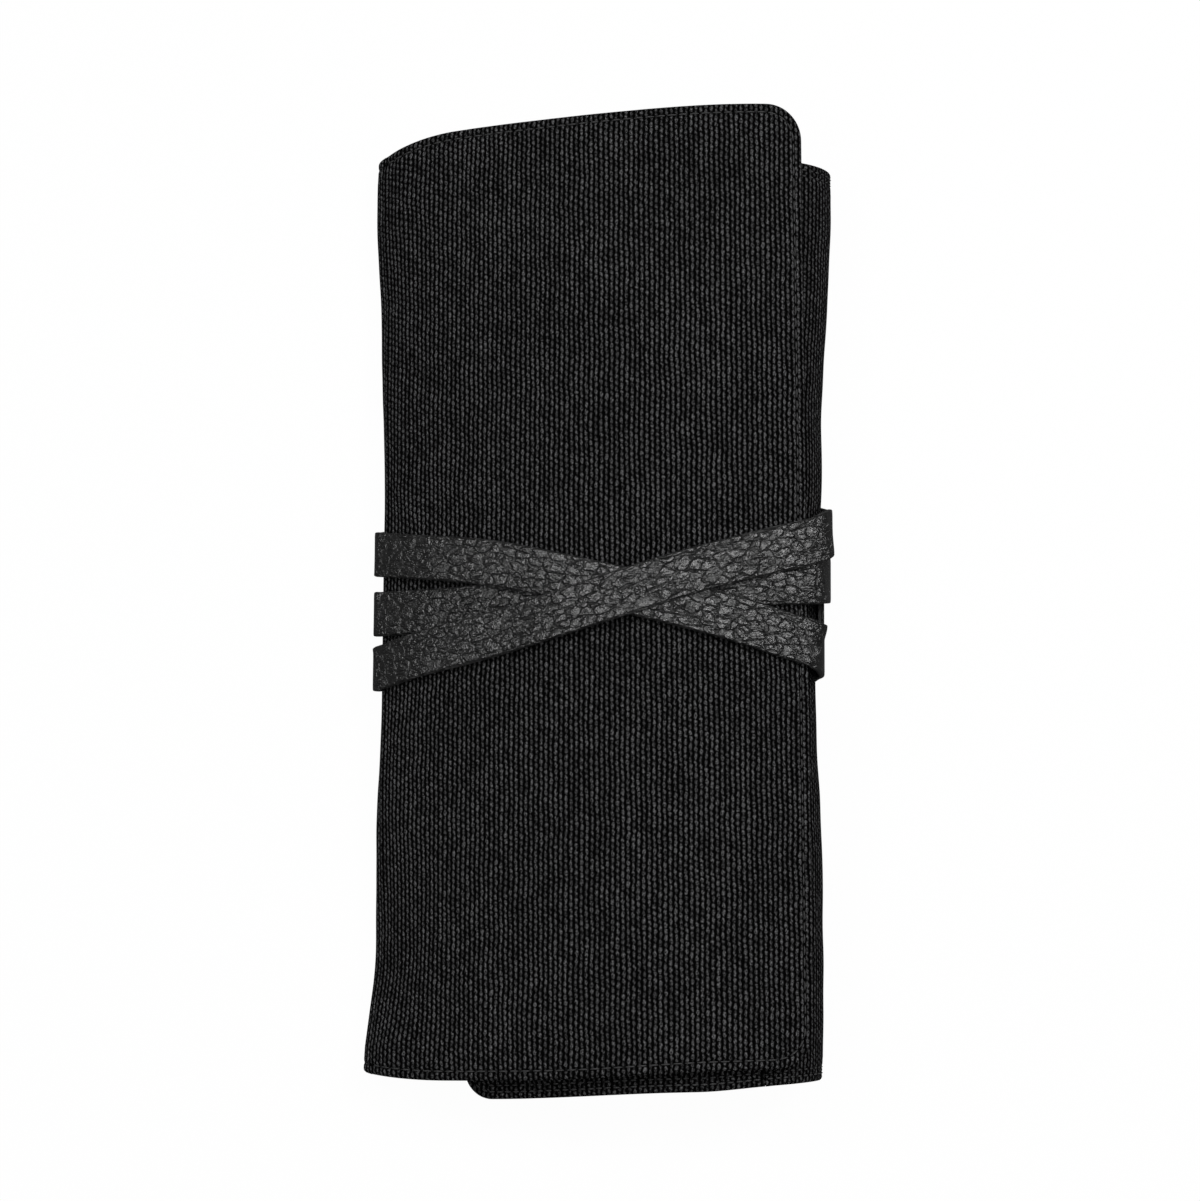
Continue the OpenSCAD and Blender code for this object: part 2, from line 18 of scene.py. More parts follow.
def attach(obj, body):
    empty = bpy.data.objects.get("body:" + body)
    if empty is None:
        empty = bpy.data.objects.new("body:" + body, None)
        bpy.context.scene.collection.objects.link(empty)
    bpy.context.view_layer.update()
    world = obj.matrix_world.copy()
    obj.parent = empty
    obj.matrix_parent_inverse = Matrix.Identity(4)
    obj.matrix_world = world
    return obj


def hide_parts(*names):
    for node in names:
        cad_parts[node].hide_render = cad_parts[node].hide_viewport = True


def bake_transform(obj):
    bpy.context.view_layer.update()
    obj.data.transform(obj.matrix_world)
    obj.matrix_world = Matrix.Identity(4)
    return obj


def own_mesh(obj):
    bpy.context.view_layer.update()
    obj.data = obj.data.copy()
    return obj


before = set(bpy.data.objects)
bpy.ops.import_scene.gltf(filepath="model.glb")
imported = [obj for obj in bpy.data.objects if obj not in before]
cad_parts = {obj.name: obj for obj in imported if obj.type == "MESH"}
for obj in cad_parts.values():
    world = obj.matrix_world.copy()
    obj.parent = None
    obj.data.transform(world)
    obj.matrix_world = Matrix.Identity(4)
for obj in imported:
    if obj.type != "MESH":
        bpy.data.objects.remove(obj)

logging.basicConfig(level=logging.INFO, format="%(message)s")
log = logging.getLogger("watch_roll")

MM = 0.001
Array = np.ndarray
Piece = bpy.types.Object
Material = bpy.types.Material
Colour = tuple[float, float, float]
Place = Callable[[Array, Array, Array], Array]
Row = tuple[Array, Array]


class Body(Enum):
    """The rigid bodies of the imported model."""

    BACK = "back"
    FLAP = "flap"
    INNER = "inner_panel"


class Slot(Enum):
    """The record's material slots."""

    CANVAS = "outer_canvas"
    LINING = "lining_cloth"
    WADDING = "wadding"
    TAPE = "binding_tape"
    LEATHER = "strap_leather"


def smooth(x: Array) -> Array:
    """Eases from 0 to 1 as x does, flat at both ends."""
    x = np.clip(x, 0.0, 1.0)
    return x * x * (3 - 2 * x)


def unit(v: Array) -> Array:
    """Directions of the vectors in the last axis."""
    return v / np.linalg.norm(v, axis=-1, keepdims=True)


def heading(degrees: float) -> Array:
    """Direction at an angle, in X and Z."""
    return np.array([math.cos(math.radians(degrees)), math.sin(math.radians(degrees))])


def run_along(line: Array) -> Array:
    """Distance of each point from the first one, along the line."""
    return np.concatenate([[0], np.cumsum(np.linalg.norm(np.diff(line, axis=0), axis=1))])


def bezier(p: Array, t: Array) -> Array:
    """Points of a cubic curve.

    Args:
        p: Four control points, in X and Z.
        t: Places on the curve, 0 to 1.

    Returns:
        One point per place.
    """
    t = np.asarray(t, float)[..., None]
    return (1 - t) ** 3 * p[0] + 3 * (1 - t) ** 2 * t * p[1] + 3 * (1 - t) * t * t * p[2] + t**3 * p[3]


def bezier_out(p: Array, t: Array) -> Array:
    """Unit directions a quarter turn to the left of a cubic curve, at the places t.

    Args:
        p: Four control points, in X and Z.
        t: Places on the curve, 0 to 1.

    Returns:
        One direction per place.
    """
    t = np.asarray(t, float)[..., None]
    d = unit((1 - t) ** 2 * (p[1] - p[0]) + 2 * (1 - t) * t * (p[2] - p[1]) + t * t * (p[3] - p[2]))
    return np.stack([-d[..., 1], d[..., 0]], -1)


def even_points(line: Array, gap: float) -> Array:
    """Points at even spacing along a broken line.

    Args:
        line: Corner points.
        gap: Wanted spacing.

    Returns:
        Points, with the first and the last ones kept.
    """
    steps = np.linalg.norm(np.diff(line, axis=0), axis=1)
    line = line[np.concatenate([[True], steps > 1e-9])]
    total = run_along(line)
    at = np.linspace(0, total[-1], max(2, int(round(total[-1] / gap)) + 1))
    return np.stack([np.interp(at, total, line[:, k]) for k in range(line.shape[1])], -1)


def ripple(u: Array, v: Array, seed: int, length: float) -> Array:
    """A slow, irregular swell between about -1 and 1.

    Args:
        u: First coordinate, in millimetres.
        v: Second coordinate, in millimetres.
        seed: Which swell.
        length: Length of the longest wave.

    Returns:
        The swell at each place.
    """
    rng = np.random.default_rng(seed)
    total = np.zeros_like(u * v)
    for k in range(7):
        angle, phase = rng.uniform(0, math.tau, 2)
        wave = length / (1 + 0.45 * k)
        total += np.sin(math.tau * (u * math.cos(angle) + v * math.sin(angle)) / wave + phase) / (1 + 0.5 * k)
    return total / 3.2


@dataclass(frozen=True)
class RollSection:
    """The roll's own section and outline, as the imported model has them."""

    length: float = 240.0
    width: float = 117.0
    wrap_step: float = 3.9
    canvas: float = 1.1
    padding: float = 1.6
    back_padding: float = 2.8
    lining: float = 0.6
    ply_gap: float = 0.1
    panel_gap: float = 0.6
    flap_edge_x: float = 52.0
    flap_edge_z: float = 31.0
    flap_rise: float = 40.0
    flap_rise_pull: float = 28.0
    flap_fall: float = 14.0
    flap_fall_pull: float = 42.0
    flap_skew: float = 3.0
    flap_corner: float = 9.5
    inner_edge_x: float = 34.5
    inner_corner: float = 8.0
    inner_drop: float = 3.7
    left_r: float = 5.0
    right_bulge: float = 16.5
    left_waist: float = 1.7
    right_waist: float = 3.3
    waist_run: float = 60.0
    waist_y: float = 3.25
    waist_half: float = 29.1
    arch: float = 2.2
    middle_x: float = 1.04346
    middle_y: float = -1.70713
    flare: float = 3.0

    @property
    def half_w(self) -> float:
        """Half the width over the folds."""
        return self.width / 2

    @property
    def half_len(self) -> float:
        """Half the length along the folds."""
        return self.length / 2

    @property
    def panel_t(self) -> float:
        """Thickness of the flap and of the inner panel."""
        return self.canvas + self.padding + self.lining + 2 * self.ply_gap

    @property
    def back_t(self) -> float:
        """Thickness of the back panel."""
        return self.canvas + self.back_padding + self.lining + 2 * self.ply_gap

    @property
    def left_centre(self) -> Array:
        """Middle of the left fold's round, in X and Z."""
        return np.array([-self.half_w + self.left_r, self.left_r])

    @property
    def left_end(self) -> float:
        """Angle at which the left fold turns into the flap, in degrees."""
        return 90.0 + self.flap_rise

    @property
    def flap_curve(self) -> Array:
        """Control points of the flap's outer face.

        Returns:
            Four points, in X and Z, from the left fold to the free edge.
        """
        start = self.left_centre + self.left_r * heading(self.left_end)
        end = np.array([self.flap_edge_x + self.flap_skew / 2, self.flap_edge_z])
        rise, fall = self.flap_rise_pull * heading(self.flap_rise), self.flap_fall_pull * heading(-self.flap_fall)
        return np.array([start, start + rise, end - fall, end])

    def at_x(self, x: float) -> float:
        """Place on the flap's curve where it passes x.

        Args:
            x: Place across the roll.

        Returns:
            The place on the curve, 0 to 1.
        """
        low, high = 0.0, 1.0
        for _ in range(40):
            mid = (low + high) / 2
            low, high = (mid, high) if bezier(self.flap_curve, mid)[0] < x else (low, mid)
        return (low + high) / 2

    def flap_face(self, t: Array, depth: Array) -> Array:
        """Points at a depth under the flap's outer face."""
        return bezier(self.flap_curve, t) - bezier_out(self.flap_curve, t) * np.asarray(depth)[..., None]

    def inner_face(self, t: Array, depth: Array) -> Array:
        """Points at a depth under the inner panel's outer face.

        Args:
            t: Places on the flap's curve.
            depth: Depths under the face.

        Returns:
            Points, in X and Z.
        """
        start, free = self.at_x(self.half_w - self.right_bulge), self.at_x(-self.inner_edge_x)
        drop = self.inner_drop * np.clip((start - t) / (start - free), 0, 1)
        return self.flap_face(t, self.panel_t + self.panel_gap + drop + depth)

    @property
    def right_top(self) -> Array:
        """Where the right fold turns into the inner panel, in X and Z."""
        return self.inner_face(np.array(self.at_x(self.half_w - self.right_bulge)), np.array(0.0))

    def hold(self, y: Array) -> Array:
        """How much of the strap's hold is felt along the roll, 0 to 1."""
        return smooth(1 - np.clip((np.abs(y - self.waist_y) - self.waist_half) / self.waist_run, 0, 1))

    def shift(self, x: Array, panel: Body) -> Array:
        """How far a panel's ends step along the roll at x.

        Args:
            x: Places across the roll.
            panel: Which panel it is.

        Returns:
            Steps along Y.
        """
        step = self.wrap_step / self.width
        if panel is Body.INNER:
            return -self.wrap_step - step * (self.half_w - x)
        return (step if panel is Body.FLAP else -step) * (x + self.half_w)


S = RollSection()


class MeshMaker:
    """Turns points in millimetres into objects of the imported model's frame."""

    @staticmethod
    def make(
        name: str, points: Array, faces: Sequence[Sequence[int]], uvs: Array | None = None, rims: Array | None = None
    ) -> Piece:
        """Makes a smooth-shaded object.

        Args:
            name: The piece's name.
            points: Corner points, in millimetres, with the roll's middle not yet over the origin.
            faces: Corner numbers of each face.
            uvs: Cloth coordinates of each corner point, in millimetres.
            rims: Distance inside the edge and place along it of each corner point.

        Returns:
            The new object.
        """
        moved = (np.asarray(points, float) - [S.middle_x, S.middle_y, 0.0]) * MM
        mesh = bpy.data.meshes.new(name)
        mesh.from_pydata(moved.tolist(), [], [list(f) for f in faces])
        mesh.update()
        if MeshMaker.volume(moved, faces) < 0:
            mesh.flip_normals()
        corner = np.empty(len(mesh.loops), np.int32)
        mesh.loops.foreach_get("vertex_index", corner)
        for label, values in (("cloth", uvs), ("rim", rims)):
            if values is not None:
                layer = mesh.uv_layers.new(name=label)
                layer.data.foreach_set("uv", np.asarray(values, np.float32)[corner].ravel())
        mesh.polygons.foreach_set("use_smooth", np.ones(len(mesh.polygons), bool))
        mesh.update()
        piece = bpy.data.objects.new(name, mesh)
        bpy.context.scene.collection.objects.link(piece)
        return piece

    @staticmethod
    def volume(points: Array, faces: Sequence[Sequence[int]]) -> float:
        """Signed volume of a closed mesh, to see which way its faces look.

        Args:
            points: Corner points.
            faces: Corner numbers of each face.

        Returns:
            Six times the volume, below zero where the faces look inwards.
        """
        total = 0.0
        quads = np.array([f for f in faces if len(f) == 4], int).reshape(-1, 4)
        thirds = np.array([f for f in faces if len(f) == 3], int).reshape(-1, 3)
        for tri in (quads[:, :3], quads[:, [0, 2, 3]], thirds):
            if len(tri):
                a, b, c = points[tri[:, 0]], points[tri[:, 1]], points[tri[:, 2]]
                total += float(np.einsum("ij,ij->i", a, np.cross(b, c)).sum())
        return total

    @staticmethod
    def shell(name: str, outer: Array, inner: Array, uv: Array, rim: Array | None = None) -> Piece:
        """Closes two grids of the same layout into one sheet with a thickness.

        Args:
            name: The piece's name.
            outer: Grid of points of the one face.
            inner: Grid of points of the other face.
            uv: Grid of cloth coordinates.
            rim: Grid of distances inside the edge and places along it.

        Returns:
            The sheet as an object.
        """
        rows, cols = outer.shape[:2]
        count = rows * cols
        index = np.arange(count).reshape(rows, cols)
        top = np.stack([index[:-1, :-1], index[1:, :-1], index[1:, 1:], index[:-1, 1:]], -1).reshape(-1, 4)
        faces = [*top.tolist(), *(top[:, ::-1] + count).tolist()]
        ring = [*index[0, :], *index[1:, -1], *index[-1, -2::-1], *index[-2:0:-1, 0]]
        faces += [[i, j, j + count, i + count] for i, j in zip(ring, [*ring[1:], ring[0]])]
        points = np.concatenate([outer.reshape(-1, 3), inner.reshape(-1, 3)])
        both, rims = (None if grid is None else np.tile(grid.reshape(-1, 2), (2, 1)) for grid in (uv, rim))
        return MeshMaker.make(name, points, faces, both, rims)

    @staticmethod
    def tube(rings: int, sides: int, base: int = 0) -> list[list[int]]:
        """Faces between the rings of an open tube whose first point has the number base.

        Args:
            rings: Number of rings.
            sides: Points in each ring.
            base: Number of the first point.

        Returns:
            Corner numbers of each face.
        """
        around = [(k, (k + 1) % sides) for k in range(sides)]
        starts = [base + i * sides for i in range(rings - 1)]
        return [[s + a, s + b, s + b + sides, s + a + sides] for s in starts for a, b in around]


@dataclass
class TurnedEdge:
    """How a ply of canvas runs over a panel's edge and back as a hem."""

    corner: float
    bend: float = 1.25
    press: float = 0.3
    hem: float = 6.0
    seams: tuple[float, ...] = (2.4,)
    groove: float = 0.34
    groove_width: float = 0.4
    ease: float = 8.0
    least_radius: float = 0.12

    def stations(self) -> list[float]:
        """Distances inside the edge at which the mesh has a line; below zero they lie past the edge.

        Returns:
            Distances, from the inside to the hem's end.
        """
        inside = [9.5, 8.2, 7.0, 5.8, 4.8, 4.1, 3.7, 3.4, 3.1, 2.8, 2.6, 2.4, 2.2, 2.0, 1.8, 1.5]
        turn = [self.bend * (1 - math.pi * k / 8) for k in range(9)]
        under = [self.bend * (1 - math.pi) - self.hem * k / 3 for k in (1, 2, 3)]
        return [*inside, *turn, *under]

    def face(self, e: Array, thick: float) -> tuple[Array, Array]:
        """Inset and depth of the ply's face at a distance inside the edge.

        Args:
            e: Distances inside the edge.
            thick: How far the face lies under the outer one, 0 for the outer face.

        Returns:
            Insets and depths.
        """
        dip = self.press * smooth((self.ease - e) / self.ease)
        for seam in self.seams:
            dip = dip + self.groove * np.exp(-(((e - seam) / self.groove_width) ** 2))
        turn = np.clip((self.bend - e) / self.bend, 0, math.pi)
        radius = max(self.bend - thick, self.least_radius)
        past = np.clip(self.bend * (1 - math.pi) - e, 0, None)
        on_top, on_turn = e >= self.bend, (e < self.bend) & (past <= 0)
        inset = np.where(on_turn, self.bend - radius * np.sin(turn), self.bend + past)
        depth = np.where(on_turn, self.press + self.bend - radius * np.cos(turn), self.press + 2 * self.bend - thick)
        return np.where(on_top, e, inset), np.where(on_top, dip + thick, depth)


class CornerGrid:
    """A flat panel's mesh lines, which run round its corners at even distances from its edge."""

    def __init__(self, plain: float, half: float, past: Array, step: float, free_edge: bool) -> None:
        """Lays the lines out.

        Args:
            plain: Distance from the fold to the corner squares.
            half: Half the distance between the corner squares, along the roll.
            past: Distances of lines past the corner squares' inner side.
            step: Spacing of the other lines.
            free_edge: Whether the far side is a free edge, with corners.
        """
        across = np.linspace(0, plain, max(3, int(plain / step)) + 1)
        if free_edge:
            across = np.concatenate([across, plain + past])
        along = np.linspace(-half, half, int(2 * half / step) + 1)
        a, b = np.meshgrid(across, np.concatenate([-half - past[::-1], along, half + past]), indexing="ij")
        p, q = np.clip(a - plain, 0, None), np.clip(np.abs(b) - half, 0, None)
        self.far = np.maximum(p, q)
        near = np.where(self.far > 0, np.minimum(p, q) / np.maximum(self.far, 1e-9), 0)
        turn = np.where(p >= q, math.pi / 4 * near, math.pi / 2 - math.pi / 4 * near)
        self.turn = np.where((p > 0) & (q > 0), turn, np.where(q > 0, math.pi / 2, 0.0))
        self.along_edge = q > p
        self.root = np.minimum(a, plain), np.clip(b, -half, half)
        self.sign = np.sign(b)

    def at(self, out: Array) -> tuple[Array, Array]:
        """Places across and along of points that lie out from the corner squares' inner side."""
        s, y = self.root
        return s + out * np.cos(self.turn), y + self.sign * out * np.sin(self.turn)


@dataclass
class Panel:
    """A panel seen flat: from its fold side at s = 0 to its free edge, with rounded corners there."""

    name: str
    place: Place
    reach: float
    edge: TurnedEdge
    free_edge: bool = True
    step: float = 1.7
    cloth_from: float = 0.0
    cloth_way: float = 1.0

    def cloth(self, s: Array, y: Array) -> Array:
        """Coordinates on the cloth that the panel is cut from."""
        return np.stack([self.cloth_from + self.cloth_way * s, y], -1)

    def canvas(self, thick: float) -> Piece:
        """The panel's ply of canvas, turned in round its edges.

        Args:
            thick: Thickness of the canvas.

        Returns:
            The ply as an object.
        """
        r = self.edge.corner
        past = np.array([r - e for e in self.edge.stations() if e < r - 0.05])
        plain = self.reach - r if self.free_edge else self.reach
        grid = CornerGrid(plain, S.half_len - r, past, self.step, self.free_edge)
        faces = []
        for under in (0.0, thick):
            inset, depth = self.edge.face(r - grid.far, under)
            s, y = grid.at(np.where(grid.far > 0, r - inset, 0))
            faces.append(self.place(s, y, np.where(grid.far > 0, depth, under)))
        s, y = grid.at(grid.far)
        rim = np.stack([r - grid.far, np.where(grid.along_edge, s, y)], -1)
        return MeshMaker.shell(self.name, *faces, self.cloth(s, y), rim)

    def ply(self, name: str, top: float, bottom: float, inset: float, corner: float, start: float = 0.2) -> Piece:
        """A plain ply inside the panel, such as its lining or its padding.

        Args:
            name: The piece's name.
            top: Depth of its upper face.
            bottom: Depth of its lower face.
            inset: How far its edge stays inside the panel's.
            corner: Radius of its corners.
            start: Where it begins at the fold side.

        Returns:
            The ply as an object.
        """
        soft = (bottom - top) / 2
        past = corner - np.array([3.0, 1.8, 1.1, 0.6, 0.25, 0.0])
        plain = self.reach - start - (inset + corner if self.free_edge else start)
        grid = CornerGrid(plain, S.half_len - inset - corner, past, 2.4, self.free_edge)
        s, y = grid.at(grid.far)
        edge = np.clip((corner - grid.far) / soft, 0, 1)
        thin = soft * (1 - np.sqrt(np.clip(1 - (1 - edge) ** 2, 0.02, 1)))
        upper, lower = (self.place(s + start, y, depth) for depth in (top + thin, bottom - thin))
        return MeshMaker.shell(name, upper, lower, self.cloth(s, y))

    def edge_path(self, inset: float, gap: float, start: float = 1.0) -> Array:
        """Points along the panel's free outline, at a distance inside it.

        Args:
            inset: Distance inside the edge.
            gap: Spacing of the points.
            start: Where the path starts at the fold side.

        Returns:
            Distances across and along, one row per point.
        """
        r = max(self.edge.corner - inset, 0.5)
        half, reach = S.half_len - inset, self.reach - inset
        legs = [np.array([[start, -half], [reach - r, -half]])]
        for y, turn in ((-half + r, -90.0), (half - r, 0.0)):
            angles = np.radians(np.linspace(turn, turn + 90, 16))
            legs.append(np.stack([reach - r + r * np.cos(angles), y + r * np.sin(angles)], -1))
        legs.append(np.array([[reach - r, half], [start, half]]))
        return even_points(np.concatenate(legs), gap)


# The strap's route: place round the roll, place along it, and how many rounds the band lies over. The place round
# the roll grows by one down the right fold, by one under the roll, by one up the left fold and by one over the flap.
ROUTE = (
    # The sewn end on the right fold, under the roll, up the left fold and the first pass over the flap.
    *((0.40, -1.5, -1), (0.55, -1.5, -1), (0.80, -2.0, -0.5), (1.00, -2.9, 0), (2.00, -0.7, 0), (2.50, -1.7, 0)),
    *((3.00, -2.2, 0), (3.25, -2.3, 0), (3.50, 0.4, 0), (3.75, 3.0, 0), (4.00, 4.5, 0)),
    # The second round; its pass crosses over the first one.
    *((4.50, 6.4, 0), (4.72, 9.3, 0), (5.00, 9.6, 0), (6.00, 15.2, 0), (6.50, 14.0, 0)),
    *((7.00, 13.4, 0), (7.11, 12.2, 0.6), (7.22, 11.0, 1), (7.36, 8.9, 1), (7.48, 5.8, 1), (7.61, 2.2, 1)),
    *((7.74, -1.9, 1), (7.86, -6.3, 1), (7.99, -11.2, 0.3)),
    # The third round; its pass crosses over both of the others.
    *((8.10, -12.6, -0.5), (8.22, -12.9, -1), (8.60, -12.9, -1), (8.80, -14.0, -0.5), (9.00, -15.2, 0)),
    *((10.00, -15.1, 0), (10.50, -16.2, 0), (11.00, -16.5, 0), (11.13, -13.8, 1), (11.26, -11.0, 1)),
    *((11.38, -8.0, 1), (11.46, -5.4, 2), (11.51, -3.6, 2), (11.63, 1.4, 2), (11.76, 6.6, 2), (11.89, 11.1, 1)),
    # Down the right fold once more and along under the roll to the loose end.
    *((12.00, 14.8, 1), (12.10, 16.9, 1), (12.24, 17.9, 0.4), (12.36, 18.4, 0), (12.50, 19.3, 0)),
    *((12.80, 21.9, 0), (13.00, 22.1, 0), (13.52, 24.6, 0)),
)


@dataclass
class Strap:
    """The leather strap: its route round the roll and its band."""

    width: float = 11.5
    thick: float = 1.5
    gap: float = 0.12
    play: float = 0.3
    floor: float = 0.1
    per_turn: int = 96
    side_width: float = 0.05
    round_width: float = 0.22
    route: Array = field(default_factory=lambda: np.array(ROUTE))
    curves: list[Array] = field(default_factory=list)

    def __post_init__(self) -> None:
        """Works out the curves that the band follows round the roll."""
        low = self.floor + self.thick / 2
        over_start, over_end = (S.flap_face(np.array(t), np.array(-self.lift)) for t in (0.0, 1.0))
        side_x = S.half_w - S.right_waist + self.lift + self.pitch
        side_z = S.right_top[1] / 2 + 1
        right, left = np.array([S.right_top[0] + 2, low]), np.array([S.left_centre[0] + 1.5, low])
        down = [over_end, over_end + 4 * heading(-S.flap_fall), [side_x, side_z + 6], [side_x, side_z]]
        under = [[side_x, side_z], [side_x, side_z - 9.5], right + [10.5, 0], right]
        flat = [right, right + (left - right) / 3, right + (left - right) * 2 / 3, left]
        up = [left, left - [5.2, 0], over_start - 3 * heading(S.flap_rise), over_start]
        self.curves = [np.array(c, float) for c in (down, under, flat, up)]

    @property
    def lift(self) -> float:
        """Height of the band's middle over the cloth."""
        return self.play + self.thick / 2

    @property
    def pitch(self) -> float:
        """Rise from one round to the next one over it."""
        return self.thick + self.gap

    def section_at(self, q: float) -> tuple[Array, Array]:
        """Centre and outward direction of the band at a place round the roll, in X and Z.

        Args:
            q: Place round the roll, with one turn for every four.

        Returns:
            The centre and the direction.
        """
        q = q % 4
        if q >= 3:
            t = np.array(q - 3)
            return S.flap_face(t, np.array(-self.lift)), bezier_out(S.flap_curve, t)
        if q < 1:
            curve, t = (self.curves[0], 2 * q) if q < 0.5 else (self.curves[1], 2 * q - 1)
        else:
            curve, t = self.curves[1 + int(q)], q % 1
        return bezier(curve, np.array(t)), bezier_out(curve, np.array(t))

    def band(self) -> tuple[Array, Array]:
        """Centre points and outward directions of the band, in order along it.

        Returns:
            Points and directions, one row per ring.
        """
        turns, along, layers = self.route.T
        places = np.linspace(turns[0], turns[-1], int((turns[-1] - turns[0]) / 4 * self.per_turn))
        y = np.mean([np.interp(places + d, turns, along) for d in np.linspace(-0.05, 0.05, 9)], axis=0)
        k = np.clip(np.searchsorted(turns, places, "right") - 1, 0, len(turns) - 2)
        share = smooth((places - turns[k]) / (turns[k + 1] - turns[k]))
        layer = layers[k] + (layers[k + 1] - layers[k]) * share
        centres, outs = [], []
        for q, at_y, up in zip(places, y, layer):
            centre, out = self.section_at(float(q))
            centre = centre + out * up * self.pitch
            centres.append([centre[0], at_y, centre[1]])
            outs.append([out[0], 0.0, out[1]])
        return np.array(centres), np.array(outs)

    def profile(self) -> tuple[Array, int]:
        """The band's outline, with slightly raised edges.

        Returns:
            Places across and heights, and how many of them are on the upper side.
        """
        half, t = self.width / 2, self.thick / 2
        side = half - self.side_width
        steps = [half - self.round_width, half - 0.6, half - 1.2]
        across = [*(-a for a in steps), *np.linspace(-half + 2, half - 2, 9), *reversed(steps)]
        upper = [(-half, 0.0), (-side, t * 0.6), *((a, t) for a in across), (side, t * 0.6), (half, 0.0)]
        lower = [(side, -t * 0.75), *((a, -t) for a in reversed(across)), (-side, -t * 0.75)]
        return np.array(upper + lower), len(upper)

    def build(self, leather: Material) -> None:
        """The band as one closed mesh.

        Args:
            leather: The band's material.
        """
        centres, outs = self.band()
        runs = unit(np.gradient(centres, axis=0))
        sides = unit(np.cross(runs, outs))
        ups = np.cross(sides, runs)
        length = run_along(centres)
        profile, top = self.profile()
        half, n = self.width / 2, len(profile)
        wobble = 0.06 * np.sin(length / 9.0) + 0.04 * np.sin(length / 3.7 + 1)
        edge = np.abs(profile[:, 0]) / half
        heights = profile[:, 1] * (1 - 0.16 * np.clip(edge - 0.86, 0, 1) / 0.14)
        points, uvs = [], []
        for centre, side, up, run, drift in zip(centres, sides, ups, length, wobble):
            across = profile[:, 0] * (1 + 0.012 * np.sin(run / 7 + 2)) + drift
            points.append(centre + across[:, None] * side + heights[:, None] * up)
            girth = np.where(profile[:, 1] >= 0, across, self.width - across)
            uvs.append(np.stack([np.full(n, run), girth], -1))
        faces = MeshMaker.tube(len(centres), n)
        other = [0, *range(n - 1, top - 1, -1), top - 1]
        for base, way in ((0, 1), ((len(centres) - 1) * n, -1)):
            for k in range(top - 1):
                face = list(dict.fromkeys([k, k + 1, other[k + 1], other[k]]))
                faces.append([base + v for v in face[::way]])
        strap = MeshMaker.make("strap_band", np.concatenate(points), faces, np.concatenate(uvs))
        dress(strap, leather)
        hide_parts("strap")
        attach(strap, Body.BACK.value)
        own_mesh(strap)
        log.info("strap: %d rings over %.0f mm", len(centres), length[-1])


class Slack:
    """How the sewn cloth departs from its cut, as the real roll's outline shows it."""

    @staticmethod
    def left(y: Array) -> Array:
        """How far the left fold stands out past its plain line.

        Args:
            y: Places along the roll.

        Returns:
            Distances, to the left.
        """
        spread = S.flare * smooth((-y - 88) / 34)
        held = 0.5 * (1 - smooth((np.abs(y - 2) - 26) / 30))
        return spread + 1.3 * smooth((y - 76) / 30) - 1.1 * smooth((-y - 46) / 40) - held

    @staticmethod
    def right(y: Array) -> Array:
        """How far the right fold stands out past its plain line."""
        above = 1.45 * np.exp(-(((y - 38) / 17) ** 2))
        return above + 0.9 * smooth((y - 84) / 26) - 1.7 * smooth((-y - 44) / 42)

    @staticmethod
    def near_fold(s: Array, y: Array) -> Array:
        """How far a panel's cloth is drawn out with the left fold, at a distance s from it."""
        return Slack.left(y) * (1 - smooth(s / 26))

    @staticmethod
    def along(x: Array, y: Array, panel: Body) -> Array:
        """How far a panel's cloth is drawn along the roll at a point of it.

        Args:
            x: Places across the roll.
            y: Places along the roll.
            panel: Which panel's cloth it is.

        Returns:
            Steps along Y, largest at the ends.
        """
        upper, lower = smooth((y - 10) / 110), smooth((-y - 10) / 110)
        if panel is Body.FLAP:
            near = (1 - np.clip((x + S.half_w + 1) / 21, 0, 1)) ** 2
            top = 2.5 + 1.3 * smooth((x + 20) / 60) - 5.0 * near
            return top * upper + (2.0 * near - 1.3 * (1 - smooth((x + 15) / 45))) * lower
        if panel is Body.INNER:
            bottom = 1.3 + 1.2 * smooth((x + 30) / 50) + 1.0 * smooth((x - 25) / 20)
            return -1.6 * upper + bottom * lower
        return -0.6 * upper + 0.8 * lower

    @staticmethod
    def moved(x: Array, y: Array, panel: Body) -> Array:
        """Where a point of a panel lies along the roll, with the panel's step and its cloth's."""
        return y + S.shift(x, panel) + Slack.along(x, y, panel)


